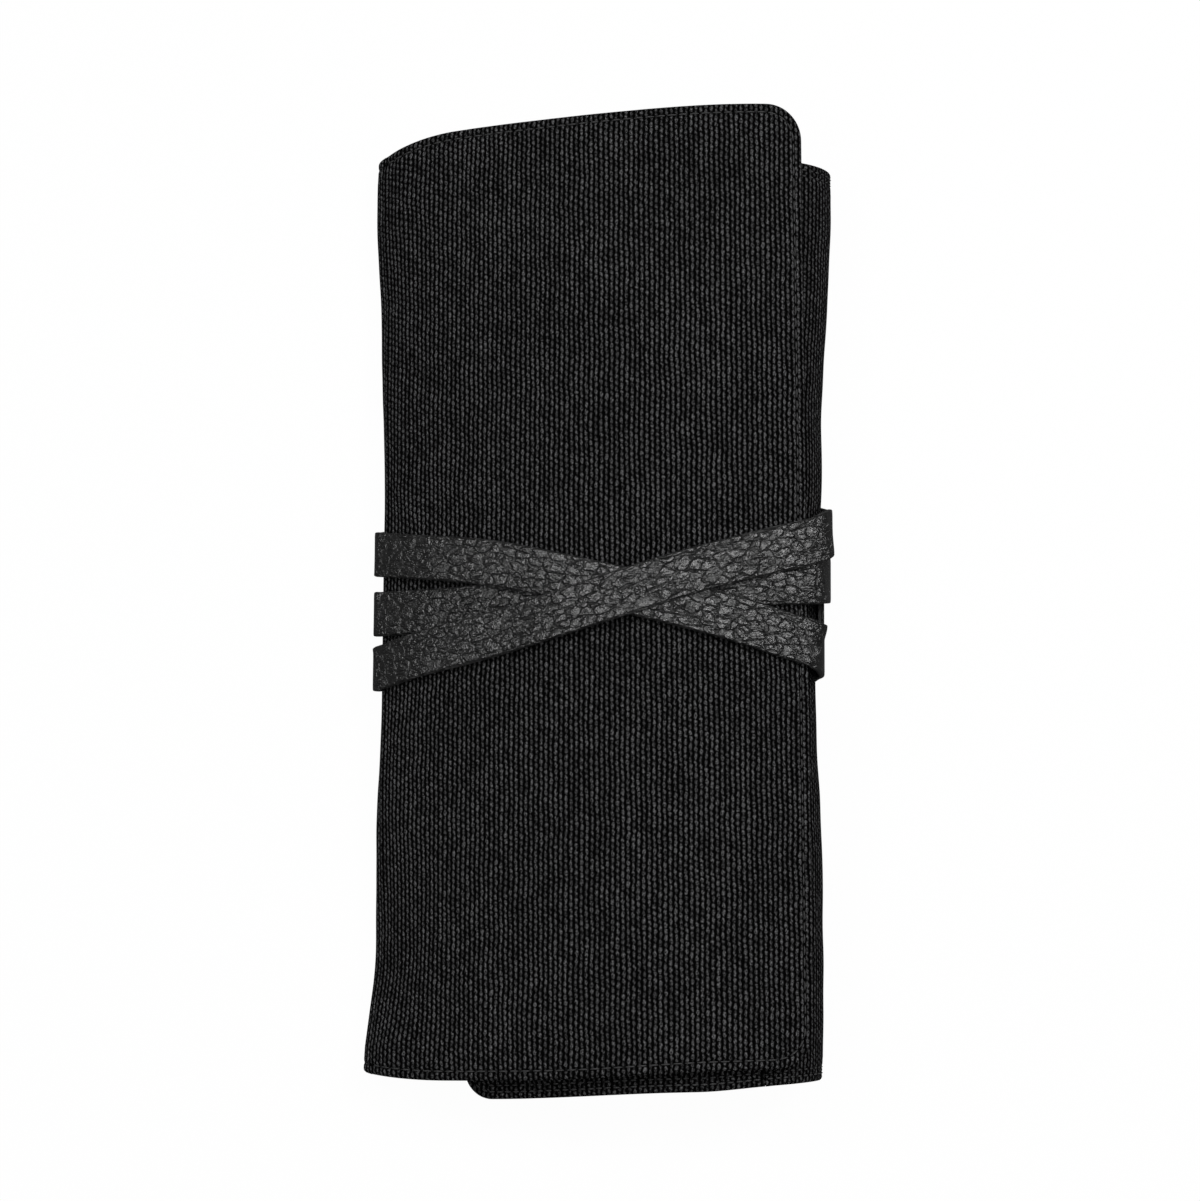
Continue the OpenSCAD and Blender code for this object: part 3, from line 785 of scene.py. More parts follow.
@dataclass
class Outer:
    """The outer canvas as one surface: back, folds, flap and inner panel."""

    strap: Strap
    held_lift: float = 0.28
    free_lift: float = 0.42

    def swell(self, x: Array, y: Array) -> Array:
        """How far the flap's canvas stands out past the plain section; the strap holds it down.

        Args:
            x: Places across the roll.
            y: Places along the roll.

        Returns:
            Heights in millimetres.
        """
        soft = 0.22 * ripple(x, y, 5, 64) + 0.1 * ripple(x, y, 9, 23)
        near = np.full_like(x * y, 99.0)
        turns, along, _ = self.strap.route.T
        for turn in (3, 7, 11):
            passing = (turns >= turn - 0.01) & (turns <= turn + 1.01)
            t = np.clip(turns[passing] - turn, 0, 1)
            at = np.interp(x, bezier(S.flap_curve, t)[:, 0], along[passing])
            near = np.minimum(near, np.abs(y - at) * 0.97)
        off = smooth((near - self.strap.width / 2) / 7)
        return soft * off + self.held_lift + self.free_lift * off

    def flap_place(self) -> tuple[Place, float]:
        """Where a point of the flap lies, and how far the flap reaches from its fold.

        Returns:
            The mapping and the reach.
        """
        t = np.linspace(0, 1, 600)
        total = run_along(bezier(S.flap_curve, t))
        reach = float(np.interp(S.at_x(S.flap_edge_x), t, total))
        rough_t = np.linspace(0, 1, 400)
        rough_x = bezier(S.flap_curve, rough_t)[:, 0]

        def place(s: Array, y: Array, depth: Array) -> Array:
            """A point of the flap, whose free edge is cut a little askew.

            Args:
                s: Distances from the fold.
                y: Places along the roll.
                depth: Depths under the outer face.

            Returns:
                Points.
            """
            edge_x = S.flap_edge_x - S.flap_skew / 2 * y / S.half_len
            own = np.interp(np.interp(edge_x, rough_x, rough_t), t, total)
            at = np.interp(s * own / reach, total, t)
            p = S.flap_face(at, depth)
            lift = self.swell(p[..., 0], y) * smooth(s / 6) * (1 - 0.55 * smooth((depth - 0.5) / 2))
            p = p + bezier_out(S.flap_curve, at) * lift[..., None]
            return np.stack([p[..., 0] - Slack.near_fold(s, y), Slack.moved(p[..., 0], y, Body.FLAP), p[..., 1]], -1)

        return place, reach

    def inner_place(self) -> tuple[Place, float]:
        """Where a point of the inner panel lies, and how far it reaches from its fold.

        Returns:
            The mapping and the reach.
        """
        t = np.linspace(S.at_x(S.half_w - S.right_bulge), S.at_x(-S.inner_edge_x - 10), 500)
        p = S.inner_face(t, np.zeros_like(t))
        total = run_along(p)
        reach = float(np.interp(S.inner_edge_x, -p[:, 0], total))

        def place(s: Array, y: Array, depth: Array) -> Array:
            """A point of the inner panel, which lies under the flap.

            Args:
                s: Distances from the fold.
                y: Places along the roll.
                depth: Depths under the outer face.

            Returns:
                Points.
            """
            q = S.inner_face(np.interp(s, total, t), depth)
            lift = 0.12 * ripple(q[..., 0], y, 21, 50) * smooth(s / 8)
            return np.stack([q[..., 0], Slack.moved(q[..., 0], y, Body.INNER), q[..., 1] + lift], -1)

        return place, reach

    def back_place(self) -> tuple[Place, float]:
        """Where a point of the back panel lies, and how far it reaches from the left fold.

        Returns:
            The mapping and the reach.
        """
        start = float(S.left_centre[0])

        def place(s: Array, y: Array, depth: Array) -> Array:
            """A point of the back, which the strap arches up at its middle.

            Args:
                s: Distances from the fold.
                y: Places along the roll.
                depth: Depths under the outer face.

            Returns:
                Points.
            """
            x = start + s
            lift = S.arch * S.hold(y) * (1 - np.clip(depth / S.back_t, 0, 1) * 0.6)
            return np.stack([x - Slack.near_fold(s, y), Slack.moved(x, y, Body.BACK), lift + depth], -1)

        return place, float(S.right_top[0]) - start

    def left_place(self) -> tuple[Place, float]:
        """Where a point of the left fold lies, from the back up to the flap.

        Returns:
            The mapping and the fold's length.
        """
        sweep = 270 - S.left_end
        reach = math.radians(sweep) * S.left_r

        def place(s: Array, y: Array, depth: Array) -> Array:
            """A point of the round fold, drawn in by the strap.

            Args:
                s: Distances from the fold.
                y: Places along the roll.
                depth: Depths under the outer face.

            Returns:
                Points.
            """
            angle = 270 - sweep * s / reach
            rad = np.radians(angle)
            r = S.left_r - depth
            w = S.hold(y)
            pinch = w * S.left_waist * np.sin(np.radians(180 * (angle - S.left_end) / sweep))
            x = S.left_centre[0] + r * np.cos(rad) + pinch
            z = S.left_centre[1] + r * np.sin(rad) + w * S.arch * np.clip(-np.sin(rad), 0, None)
            share = np.clip(s / reach, 0, 1)
            puff = 0.2 * ripple(s * 0.5, y, 31, 40) * np.sin(np.pi * share)
            low, high = Slack.along(x, y, Body.BACK), Slack.along(x, y, Body.FLAP)
            start = S.shift(S.left_centre[0], Body.BACK) * (1 - share) + S.shift(S.flap_curve[0][0], Body.FLAP) * share
            return np.stack([x - Slack.left(y) - puff, y + start + low + (high - low) * share, z], -1)

        return place, reach

    def right_place(self) -> tuple[Place, float]:
        """Where a point of the right fold lies, from the back up to the inner panel.

        Returns:
            The mapping and the fold's length.
        """
        top = S.right_top
        a, b = S.half_w - top[0], top[1] / 2
        angles = np.linspace(-90, 90, 400)
        total = run_along(np.stack([a * np.cos(np.radians(angles)), b * np.sin(np.radians(angles))], -1))

        def place(s: Array, y: Array, depth: Array) -> Array:
            """A point of the half oval fold, drawn in by the strap.

            Args:
                s: Distances from the fold.
                y: Places along the roll.
                depth: Depths under the outer face.

            Returns:
                Points.
            """
            angle = np.interp(s, total, angles)
            rad = np.radians(angle)
            w = S.hold(y)
            x = top[0] + (a - depth) * np.cos(rad) - w * S.right_waist * np.clip(np.cos(rad), 0, None)
            z = b + (b - depth) * np.sin(rad) + w * S.arch * np.clip(-np.sin(rad), 0, None)
            share = (angle + 90) / 180
            low = S.shift(top[0], Body.BACK) + Slack.along(x, y, Body.BACK)
            high = S.shift(top[0], Body.INNER) + Slack.along(x, y, Body.INNER)
            puff = (Slack.right(y) + 0.3 * ripple(s * 0.4, y, 37, 55)) * np.cos(rad)
            tuck = 1.5 * np.sin(np.pi * share) * (smooth((-y - 90) / 30) - smooth((y - 90) / 30))
            return np.stack([x + puff, y + low + (high - low) * share + tuck, z], -1)

        return place, float(total[-1])


@dataclass(frozen=True)
class Thread:
    """Rows of stitches: thick thread that dips into the cloth between stitches."""

    radius: float = 0.2
    stitch: float = 2.9
    hole: float = 0.55
    shortest: float = 0.5
    rings: int = 7
    sides: int = 6

    def sew(self, name: str, rows: Sequence[Row], material: Material) -> Piece:
        """Lays stitches along rows on a surface.

        Args:
            name: The piece's name.
            rows: For each row, points at the spacing of the stitches and the outward directions there.
            material: The thread's material.

        Returns:
            All the stitches as one object.
        """
        points, faces = [], []
        angles = [math.tau * k / self.sides for k in range(self.sides)]
        for path, up in rows:
            for a, b, n in zip(path[:-1], path[1:], up[:-1] + up[1:]):
                size = np.linalg.norm(b - a)
                if size < self.shortest:
                    continue
                run = (b - a) / size
                n = unit(n - (n @ run) * run)
                side = np.cross(run, n)
                base = len(points)
                faces += MeshMaker.tube(self.rings, self.sides, base)
                for end, way in ((base, 1), (base + (self.rings - 1) * self.sides, -1)):
                    cap = range(end, end + self.sides)[::way]
                    faces += [[cap[0], cap[k], cap[k + 1]] for k in range(1, self.sides - 1)]
                for share in np.linspace(0, 1, self.rings):
                    arch = math.sin(math.pi * share)
                    centre = a + run * (self.hole / 2 + (size - self.hole) * share)
                    centre = centre + n * (self.radius * (1.5 * arch - 1.0))
                    r = self.radius * (0.55 + 0.45 * arch)
                    points += [centre + r * (math.cos(t) * side + math.sin(t) * n) for t in angles]
        piece = dress(MeshMaker.make(name, np.array(points), faces), material)
        return piece


def on_surface(place: Place, line: Array, depth: float, outwards: bool = True) -> Row:
    """Points of a flat line laid on a panel, with the directions out of it.

    Args:
        place: The panel's own mapping.
        line: Distances across and along.
        depth: Depth at which the line lies.
        outwards: Whether the directions look out of the outer face, and not out of the lining.

    Returns:
        Points and directions.
    """
    s, y = line[:, 0], line[:, 1]
    d = np.full_like(s, depth)
    out = unit(place(s, y, d - 0.4) - place(s, y, d + 0.4))
    return place(s, y, d), out if outwards else -out


class Value:
    """A shader socket that can be added, multiplied and so on like a number."""

    def __init__(self, writer: "NodeWriter", socket: bpy.types.NodeSocket) -> None:
        """Keeps the socket and the writer of its tree."""
        self.writer, self.socket = writer, socket

    def math(self, kind: str, *others: "Value | float") -> "Value":
        """A Math node with this value as its first input."""
        return self.writer.math(kind, self, *others)

    def clamped(self) -> "Value":
        """The same value, held between 0 and 1 by its own Math node."""
        self.socket.node.use_clamp = True
        return self

    def __add__(self, other: "Value | float") -> "Value":
        """The sum."""
        return self.math("ADD", other)

    def __sub__(self, other: "Value | float") -> "Value":
        """The difference."""
        return self.math("SUBTRACT", other)

    def __rsub__(self, other: float) -> "Value":
        """A number less this value."""
        return self.writer.math("SUBTRACT", other, self)

    def __mul__(self, other: "Value | float") -> "Value":
        """The product."""
        return self.math("MULTIPLY", other)

    def __truediv__(self, other: "Value | float") -> "Value":
        """The quotient."""
        return self.math("DIVIDE", other)


class NodeWriter:
    """A short way to write shader nodes."""

    def __init__(self, tree: bpy.types.NodeTree) -> None:
        """Keeps the tree that is written to."""
        self.tree = tree

    def feed(self, socket: bpy.types.NodeSocket, value: object) -> None:
        """Links a value to an input, or sets a number, a vector or a colour on it.

        Args:
            socket: The input.
            value: What goes into it.
        """
        if isinstance(value, Value):
            self.tree.links.new(value.socket, socket)
        elif socket.type == "RGBA":
            socket.default_value = (*value, 1.0)
        else:
            socket.default_value = value

    def add(self, kind: str, inputs: dict | None = None, **settings: object) -> bpy.types.Node:
        """Adds a node.

        Args:
            kind: The node's type.
            inputs: What goes into its inputs, by name or number.
            **settings: The node's own settings.

        Returns:
            The node.
        """
        node = self.tree.nodes.new(kind)
        count = len(self.tree.nodes)
        node.location = (count * 170, -(count % 5) * 60)
        for key, value in settings.items():
            setattr(node, key, value)
        for key, value in (inputs or {}).items():
            self.feed(node.inputs[key], value)
        return node

    def out(self, node: bpy.types.Node, key: str | int = 0) -> Value:
        """An output of a node."""
        return Value(self, node.outputs[key])

    def math(self, kind: str, *inputs: object) -> Value:
        """A Math node with numbers or values as its inputs."""
        return self.out(self.add("ShaderNodeMath", dict(enumerate(inputs)), operation=kind))

    def vector(self, kind: str, *inputs: object) -> Value:
        """A Vector Math node with vectors or values as its inputs."""
        return self.out(self.add("ShaderNodeVectorMath", dict(enumerate(inputs)), operation=kind))

    def mix(self, share: object, a: object, b: object) -> Value:
        """A colour between two colours."""
        return self.out(self.add("ShaderNodeMix", {0: share, 6: a, 7: b}, data_type="RGBA"), 2)

    def noise(self, where: Value, scale: float, detail: float) -> Value:
        """A noise texture's value."""
        return self.out(self.add("ShaderNodeTexNoise", {"Vector": where, "Scale": scale, "Detail": detail}))

    def split(self, vector: Value) -> tuple[Value, Value]:
        """A vector's X and Y."""
        node = self.add("ShaderNodeSeparateXYZ", {0: vector})
        return self.out(node, 0), self.out(node, 1)

    def join(self, x: Value, y: Value) -> Value:
        """A vector from its X and Y."""
        return self.out(self.add("ShaderNodeCombineXYZ", {0: x, 1: y}))

    def map(self, name: str) -> Value:
        """Coordinates of one of the pieces' UV maps."""
        return self.out(self.add("ShaderNodeUVMap", uv_map=name))

    def bump(self, height: Value, depth: float, strength: float = 1.0) -> Value:
        """A normal bent by a height of so many millimetres."""
        inputs = {"Strength": strength, "Distance": depth * MM, "Height": height}
        return self.out(self.add("ShaderNodeBump", inputs))


class EffectGroup(NodeWriter):
    """A shader group with a vector input, number inputs and number outputs."""

    def __init__(self, name: str, inputs: dict[str, float], outputs: Sequence[str]) -> None:
        """Starts the group.

        Args:
            name: The group's name.
            inputs: Names and defaults of its numbers.
            outputs: Names of its outputs.
        """
        super().__init__(bpy.data.node_groups.new(name, "ShaderNodeTree"))
        sockets = self.tree.interface
        sockets.new_socket("Vector", in_out="INPUT", socket_type="NodeSocketVector")
        for label, value in inputs.items():
            sockets.new_socket(label, in_out="INPUT", socket_type="NodeSocketFloat").default_value = value
        for label in outputs:
            sockets.new_socket(label, in_out="OUTPUT", socket_type="NodeSocketFloat")
        self.start, self.end = self.add("NodeGroupInput"), self.add("NodeGroupOutput")

    def given(self, label: str) -> Value:
        """One of the group's inputs."""
        return self.out(self.start, label)

    def give(self, label: str, value: Value) -> None:
        """Feeds one of the group's outputs."""
        self.feed(self.end.inputs[label], value)


class EffectLibrary:
    """Shader groups that the finishes share."""

    def __init__(self) -> None:
        """Builds the groups."""
        self.weave = self._weave()
        self.grain = self._grain()
        self.lint = self._lint()

    @staticmethod
    def _weave() -> bpy.types.NodeTree:
        """Plain weave with heavy ribs: the floats of each rib nest between those of its neighbours.

        Returns:
            The group, with the cloth's height and how much thread is lit, a mask of painted light: low in the gaps
            between floats (painted shade), high on raised floats and fibres (painted highlight).
        """
        inputs = {"Rib": 1.29, "Bead": 1.66, "Bead share": 0.5, "Wander": 0.16, "Nest": 0.05}
        w = EffectGroup("ribbed_weave", inputs, ("Height", "Thread"))
        where, share = w.given("Vector"), w.given("Bead share")
        x, y = w.split(where)
        sway = ((w.noise(where, 0.11, 2) - 0.5) + (w.noise(where, 0.75, 1) - 0.5) * 0.45) * w.given("Wander")
        u = x / w.given("Rib") + sway * 4.0
        rows = y / w.given("Bead") + sway * 6.0
        u = u - (u * math.pi).math("COSINE") * (rows * math.tau).math("COSINE") * w.given("Nest")
        rib, across = u.math("FLOOR"), u.math("FRACT")
        v = rows + rib.math("FLOORED_MODULO", 2.0) * 0.5 + (across - 0.5) * 0.34
        bead, along = v.math("FLOOR"), v.math("FRACT")
        round_rib = (across * math.pi).math("SINE").math("POWER", 1.25)
        round_bead = (along * math.pi).math("SINE").math("POWER", 0.75)
        random = w.add("ShaderNodeTexWhiteNoise", {"Vector": w.join(rib, bead)}, noise_dimensions="3D")
        chance = w.out(random)
        fibre = w.noise(w.vector("MULTIPLY", where, (3.4, 2.0, 1.0)), 1.0, 3)
        height = round_rib * ((1.0 - share) + round_bead * share) * (chance * 0.2 + 0.88)
        w.give("Height", height + fibre * 0.28)
        # Painted shade and highlight: the lower a float lies, the darker it is painted; raised fibres are painted
        # lighter, partly their own tone and partly painted highlight.
        crest = ((height - 0.24) / 0.6).clamped().math("POWER", 2.0)
        strand = ((fibre - 0.36) * 4.5).math("MAXIMUM", 0.05)
        w.give("Thread", (crest * (chance * 0.4 + 0.5) * strand).clamped())
        return w.tree

    @staticmethod
    def _grain() -> bpy.types.NodeTree:
        """Pebbled leather: rounded cells of uneven size with creases of uneven depth between them.

        Returns:
            The group, with the leather's height, its creases and fine grain.
        """
        w = EffectGroup("pebbled_grain", {"Pebble": 0.46, "Stretch": 0.62}, ("Height", "Crease mask", "Fine"))
        where = w.given("Vector")
        x, y = w.split(where)
        squeezed = w.join(x * w.given("Stretch"), y)
        bend = w.add("ShaderNodeTexNoise", {"Vector": squeezed, "Scale": 0.55, "Detail": 3.0})
        warped = w.vector("MULTIPLY_ADD", w.out(bend, "Color"), (2.6, 2.6, 0.0), squeezed)
        depths = []
        for factor in (1.0, 2.1, 4.4):
            inputs = {"Vector": warped, "Scale": w.given("Pebble") * factor}
            cells = w.add("ShaderNodeTexVoronoi", inputs, feature="DISTANCE_TO_EDGE")
            depths.append((w.out(cells) / 0.5).clamped())
        large, middle, small = (inside * (2.0 - inside) for inside in depths)
        line, thin_line = (1.0 - (inside / 0.3).clamped() for inside in depths[:2])
        strong = ((w.noise(where, 0.45, 2) - 0.33) * 2.8).clamped()
        medium = ((w.noise(where, 0.8, 2) - 0.36) * 3.2).clamped()
        fine = w.noise(where, 2.3, 4)
        crease = (line * (strong * 0.6 + 0.45)).math("MAXIMUM", thin_line * medium * 0.4).clamped()
        height = large * 0.62 + (middle * medium * 0.36 + small * 0.16) - crease * 1.15
        w.give("Height", height + fine * 0.6)
        w.give("Crease mask", crease)
        w.give("Fine", fine)
        return w.tree

    @staticmethod
    def _lint() -> bpy.types.NodeTree:
        """Sparse pale specks of lint.

        Returns:
            The group, with the specks' mask.
        """
        w = EffectGroup("lint_specks", {"Spread": 0.35}, ("Mask",))
        where = w.given("Vector")
        cells = w.add("ShaderNodeTexVoronoi", {"Vector": where, "Scale": w.given("Spread")}, feature="F1")
        near = 1.0 - (w.out(cells, "Distance") / 0.05).clamped()
        w.give("Mask", near * w.noise(where, 0.07, 1).math("GREATER_THAN", 0.52))
        return w.tree


class Finish:
    """A finish: what goes into the inputs of a Principled BSDF."""

    name: str

    def inputs(self, w: NodeWriter, effects: EffectLibrary) -> dict[str, object]:
        """Writes the finish's nodes.

        Args:
            w: The writer of the material's tree.
            effects: The shared shader groups.

        Returns:
            What goes into each input of the shader, by its name.
        """
        raise NotImplementedError

    def build(self, effects: EffectLibrary) -> Material:
        """Makes the material.

        Args:
            effects: The shared shader groups.

        Returns:
            The material.
        """
        material = bpy.data.materials.new(self.name)
        material.use_nodes = True
        w = NodeWriter(material.node_tree)
        shader = material.node_tree.nodes["Principled BSDF"]
        for label, value in self.inputs(w, effects).items():
            w.feed(shader.inputs[label], value)
        return material


@dataclass(frozen=True)
class ClothFinish(Finish):
    """A woven cloth, from its thread's colour, the painted shade in the gaps between its threads, and its weave."""

    name: str
    # Painted shade: colour of the gaps between the threads.
    gap_shade: Colour
    thread: Colour
    rib: float = 1.29
    bead: float = 1.66
    bead_share: float = 0.52
    wander: float = 0.2
    nest: float = 0.055
    depth: float = 0.6
    rough: float = 0.85
    specular: float = 0.02
    seams: tuple[float, ...] = ()
    lint: Colour = (0.16, 0.16, 0.16)

    def inputs(self, w: NodeWriter, effects: EffectLibrary) -> dict[str, object]:
        """The weave with worn places, painted shade in the seam grooves and between the threads, and lint.

        Args:
            w: The writer of the material's tree.
            effects: The shared shader groups.

        Returns:
            What goes into each input of the shader.
        """
        cloth = w.map("cloth")
        kind = {"Rib": self.rib, "Bead": self.bead, "Bead share": self.bead_share}
        kind |= {"Wander": self.wander, "Nest": self.nest, "Vector": cloth}
        weave = w.add("ShaderNodeGroup", kind, node_tree=effects.weave)
        lint = w.add("ShaderNodeGroup", {"Vector": cloth}, node_tree=effects.lint)
        thread = w.out(weave, "Thread")
        lit = thread * (w.noise(cloth, 0.035, 3) * 0.5 + 0.62 + w.noise(cloth, 0.3, 2) * 0.3)
        # Painted shade: the cloth is darkened along each seam's groove, where shade falls.
        for seam in self.seams:
            off = (w.split(w.map("rim"))[0] - seam).math("ABSOLUTE") / 0.5
            lit = lit * (1.0 - (1.0 - off * off).clamped() * 0.8)
        # Painted shade in the gaps between the threads, lighter colour on their raised crests.
        base = w.mix(lit.math("MAXIMUM", 0.0).clamped(), self.gap_shade, self.thread)
        return {
            "Base Color": w.mix(w.out(lint, "Mask") * 0.55, base, self.lint),
            "Roughness": (self.rough + 0.08) - thread * 0.16,
            "Specular IOR Level": self.specular,
            "Normal": w.bump(w.out(weave, "Height"), self.depth),
        }


@dataclass(frozen=True)
class LeatherFinish(Finish):
    """Black pebbled leather with a half gloss, painted shade in its creases, and rougher cut edges darkened by painted
    shade.
    """

    name: str = "pebbled_leather"
    colour: Colour = (0.005, 0.005, 0.0051)
    # Painted shade: the near black of the creases and fine hollows.
    crease: Colour = (0.0005, 0.0005, 0.0005)
    rough: float = 0.25
    specular: float = 0.9
    index: float = 1.62
    depth: float = 0.32
    half_width: float = 5.75

    def inputs(self, w: NodeWriter, effects: EffectLibrary) -> dict[str, object]:
        """The grain, with painted shade in the creases and fine hollows, and a rougher strip at the band's two edges
        darkened by painted shade.

        Args:
            w: The writer of the material's tree.
            effects: The shared shader groups.

        Returns:
            What goes into each input of the shader.
        """
        cloth = w.map("cloth")
        grain = w.add("ShaderNodeGroup", {"Vector": cloth}, node_tree=effects.grain)
        height, crease, fine = (w.out(grain, label) for label in ("Height", "Crease mask", "Fine"))
        # Painted shade: darker in the creases and in the hollows of the fine grain.
        painted_shade = (crease + (0.62 - fine) * 0.9).clamped()
        # Painted shade: the band's two edges are painted darker, standing for the shadow line where one round lies
        # over another; they are rougher too.
        edge = ((w.split(cloth)[1].math("ABSOLUTE") - (self.half_width - 0.45)) / 0.35).clamped()
        rough = fine * 0.12 + (self.rough - 0.06) + edge * 0.25 + crease * 0.3
        return {
            "Base Color": w.mix(painted_shade.math("MAXIMUM", edge), self.colour, self.crease),
            "Roughness": rough.clamped(),
            "Specular IOR Level": self.specular,
            "IOR": self.index,
            "Normal": w.bump(height - edge * 0.9, self.depth),
        }


@dataclass(frozen=True)
class PlainFinish(Finish):
    """Thread or padding: one colour with fine fibres."""

    name: str
    colour: Colour
    dark: Colour
    scale: float = 900.0
    rough: float = 0.8

    def inputs(self, w: NodeWriter, effects: EffectLibrary) -> dict[str, object]:
        """Fibres that change the colour, the roughness and the height.

        Args:
            w: The writer of the material's tree.
            effects: The shared shader groups.

        Returns:
            What goes into each input of the shader.
        """
        fibre = w.noise(w.out(w.add("ShaderNodeTexCoord"), "Object"), self.scale, 3)
        return {
            "Base Color": w.mix(fibre, self.dark, self.colour),
            "Roughness": fibre * 0.2 + (self.rough - 0.1),
            "Normal": w.bump(fibre, 0.1, 0.5),
        }


class Finishes:
    """Every finish of the roll."""

    SEAM = (2.4,)
    DOUBLE_SEAM = (1.9, 3.5)

    def __init__(self) -> None:
        """Builds the materials."""
        effects = EffectLibrary()
        # Near black painted shade for the gaps of the canvas weave.
        gap_shade_black = (0.0008, 0.0008, 0.0008)
        weave = {"bead_share": 0.5, "nest": 0.0}
        lining = {"rib": 0.8, "bead": 0.7, "wander": 0.1, "depth": 0.25, "rough": 0.72, "specular": 0.2}
        tape = {"rib": 0.9, "bead": 0.5, "wander": 0.03, "depth": 0.3, "rough": 0.6, "specular": 0.35}
        canvas = ClothFinish("ribbed_canvas", gap_shade_black, (0.127, 0.127, 0.13), seams=self.SEAM)
        # Painted shade: a darker copy of the same canvas for the right fold and the inner panel, which lie lower, in
        # shade.
        shaded_canvas = ClothFinish("ribbed_canvas_shaded_double_seam", gap_shade_black, (0.105, 0.105, 0.107), seams=self.DOUBLE_SEAM)
        self.canvas, self.shaded_canvas = canvas.build(effects), shaded_canvas.build(effects)
        cloth = ClothFinish("lining_cloth", (0.012, 0.012, 0.013), (0.14, 0.14, 0.145), **weave, **lining)
        self.lining = cloth.build(effects)
        band = ClothFinish("binding_tape", (0.003, 0.003, 0.003), (0.1, 0.1, 0.102), **weave, **tape)
        self.tape = band.build(effects)
        self.leather = LeatherFinish().build(effects)
        thread = PlainFinish("waxed_thread", (0.05, 0.05, 0.051), (0.014, 0.014, 0.014))
        self.thread = thread.build(effects)
        wadding = PlainFinish("felted_wadding", (0.55, 0.55, 0.53), (0.35, 0.35, 0.34), 400.0, 0.95)
        self.wadding = wadding.build(effects)


def dress(piece: Piece, material: Material) -> Piece:
    """Gives a piece its one material.

    Args:
        piece: The piece.
        material: Its material.

    Returns:
        The same piece.
    """
    piece.data.materials.clear()
    piece.data.materials.append(material)
    return piece


@dataclass
class Assembly:
    """What the roll's assemblies share: their finishes and the body that they move with."""

    finishes: Finishes
    body: Body

    def keep(self, piece: Piece, material: Material, slot: Slot, node: str) -> Piece:
        """Dresses a piece, ties it to the body and hides the solid that it stands for.

        Args:
            piece: The piece.
            material: Its material.
            slot: Its slot in the record; not used.
            node: Name of the solid.

        Returns:
            The same piece.
        """
        dress(piece, material)
        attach(piece, self.body.value)
        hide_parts(node)
        log.info("%s: %d faces", piece.name, len(piece.data.polygons))
        return piece

    def build(self) -> None:
        """Makes the assembly's pieces."""
        raise NotImplementedError


@dataclass
class Layers(Assembly):
    """A panel's plies: a canvas cover, wadding and a lining, with stitches round its free edges.

    The wadding and the lining are given by the depths of their two faces, their inset, the radius of their corners
    and, where it isn't the usual one, the place where they start.
    """

    panel: Panel
    canvas: Material
    label: str
    rests_on: str
    cover_flat: tuple[float, float]
    lining_flat: tuple[float, float]
    wadding: tuple[float, ...]
    lining: tuple[float, ...]
    thread: Thread | None = None
    softness: float = 0.5
    seam_depth: float = 0.5
    under_inset: float = 5.4
    under_depth: float = 3.5

    def build(self) -> None:
        """Makes the cover, the wadding, the lining and the stitches on both faces."""
        f, solid = self.finishes, self.body.value
        cover = self.keep(self.panel.canvas(S.canvas), self.canvas, Slot.CANVAS, f"{solid}_canvas")
        ply = self.panel.ply(f"{self.label}_wadding", *self.wadding)
        self.keep(ply, f.wadding, Slot.WADDING, f"{solid}_padding")
        lining = self.keep(self.inside(), f.lining, Slot.LINING, f"{solid}_lining")
        if self.thread:
            paths = [(seam, self.seam_depth, True) for seam in self.panel.edge.seams]
            paths.append((self.under_inset, self.under_depth, False))
            rows = [
                on_surface(self.panel.place, self.panel.edge_path(inset, self.thread.stitch), depth, outwards)
                for inset, depth, outwards in paths
            ]
            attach(self.thread.sew(f"{self.label}_stitching", rows, f.thread), solid)

    def inside(self) -> Piece:
        """The panel's lining."""
        return self.panel.ply(f"{self.label}_inside", *self.lining)


class BackLayers(Layers):
    """The back's plies; its lining lies flat under the pockets."""

    def inside(self) -> Piece:
        """The back's lining, which doesn't follow the canvas's arch.

        Returns:
            The lining as an object.
        """
        start = float(S.left_centre[0])

        def flat(s: Array, y: Array, depth: Array) -> Array:
            """A point of the flat lining."""
            return np.stack([start + s, y + S.shift(start + s, Body.BACK), depth], -1)

        panel = Panel("back_inside", flat, self.panel.reach, self.panel.edge, free_edge=False)
        return panel.ply(panel.name, *self.lining)


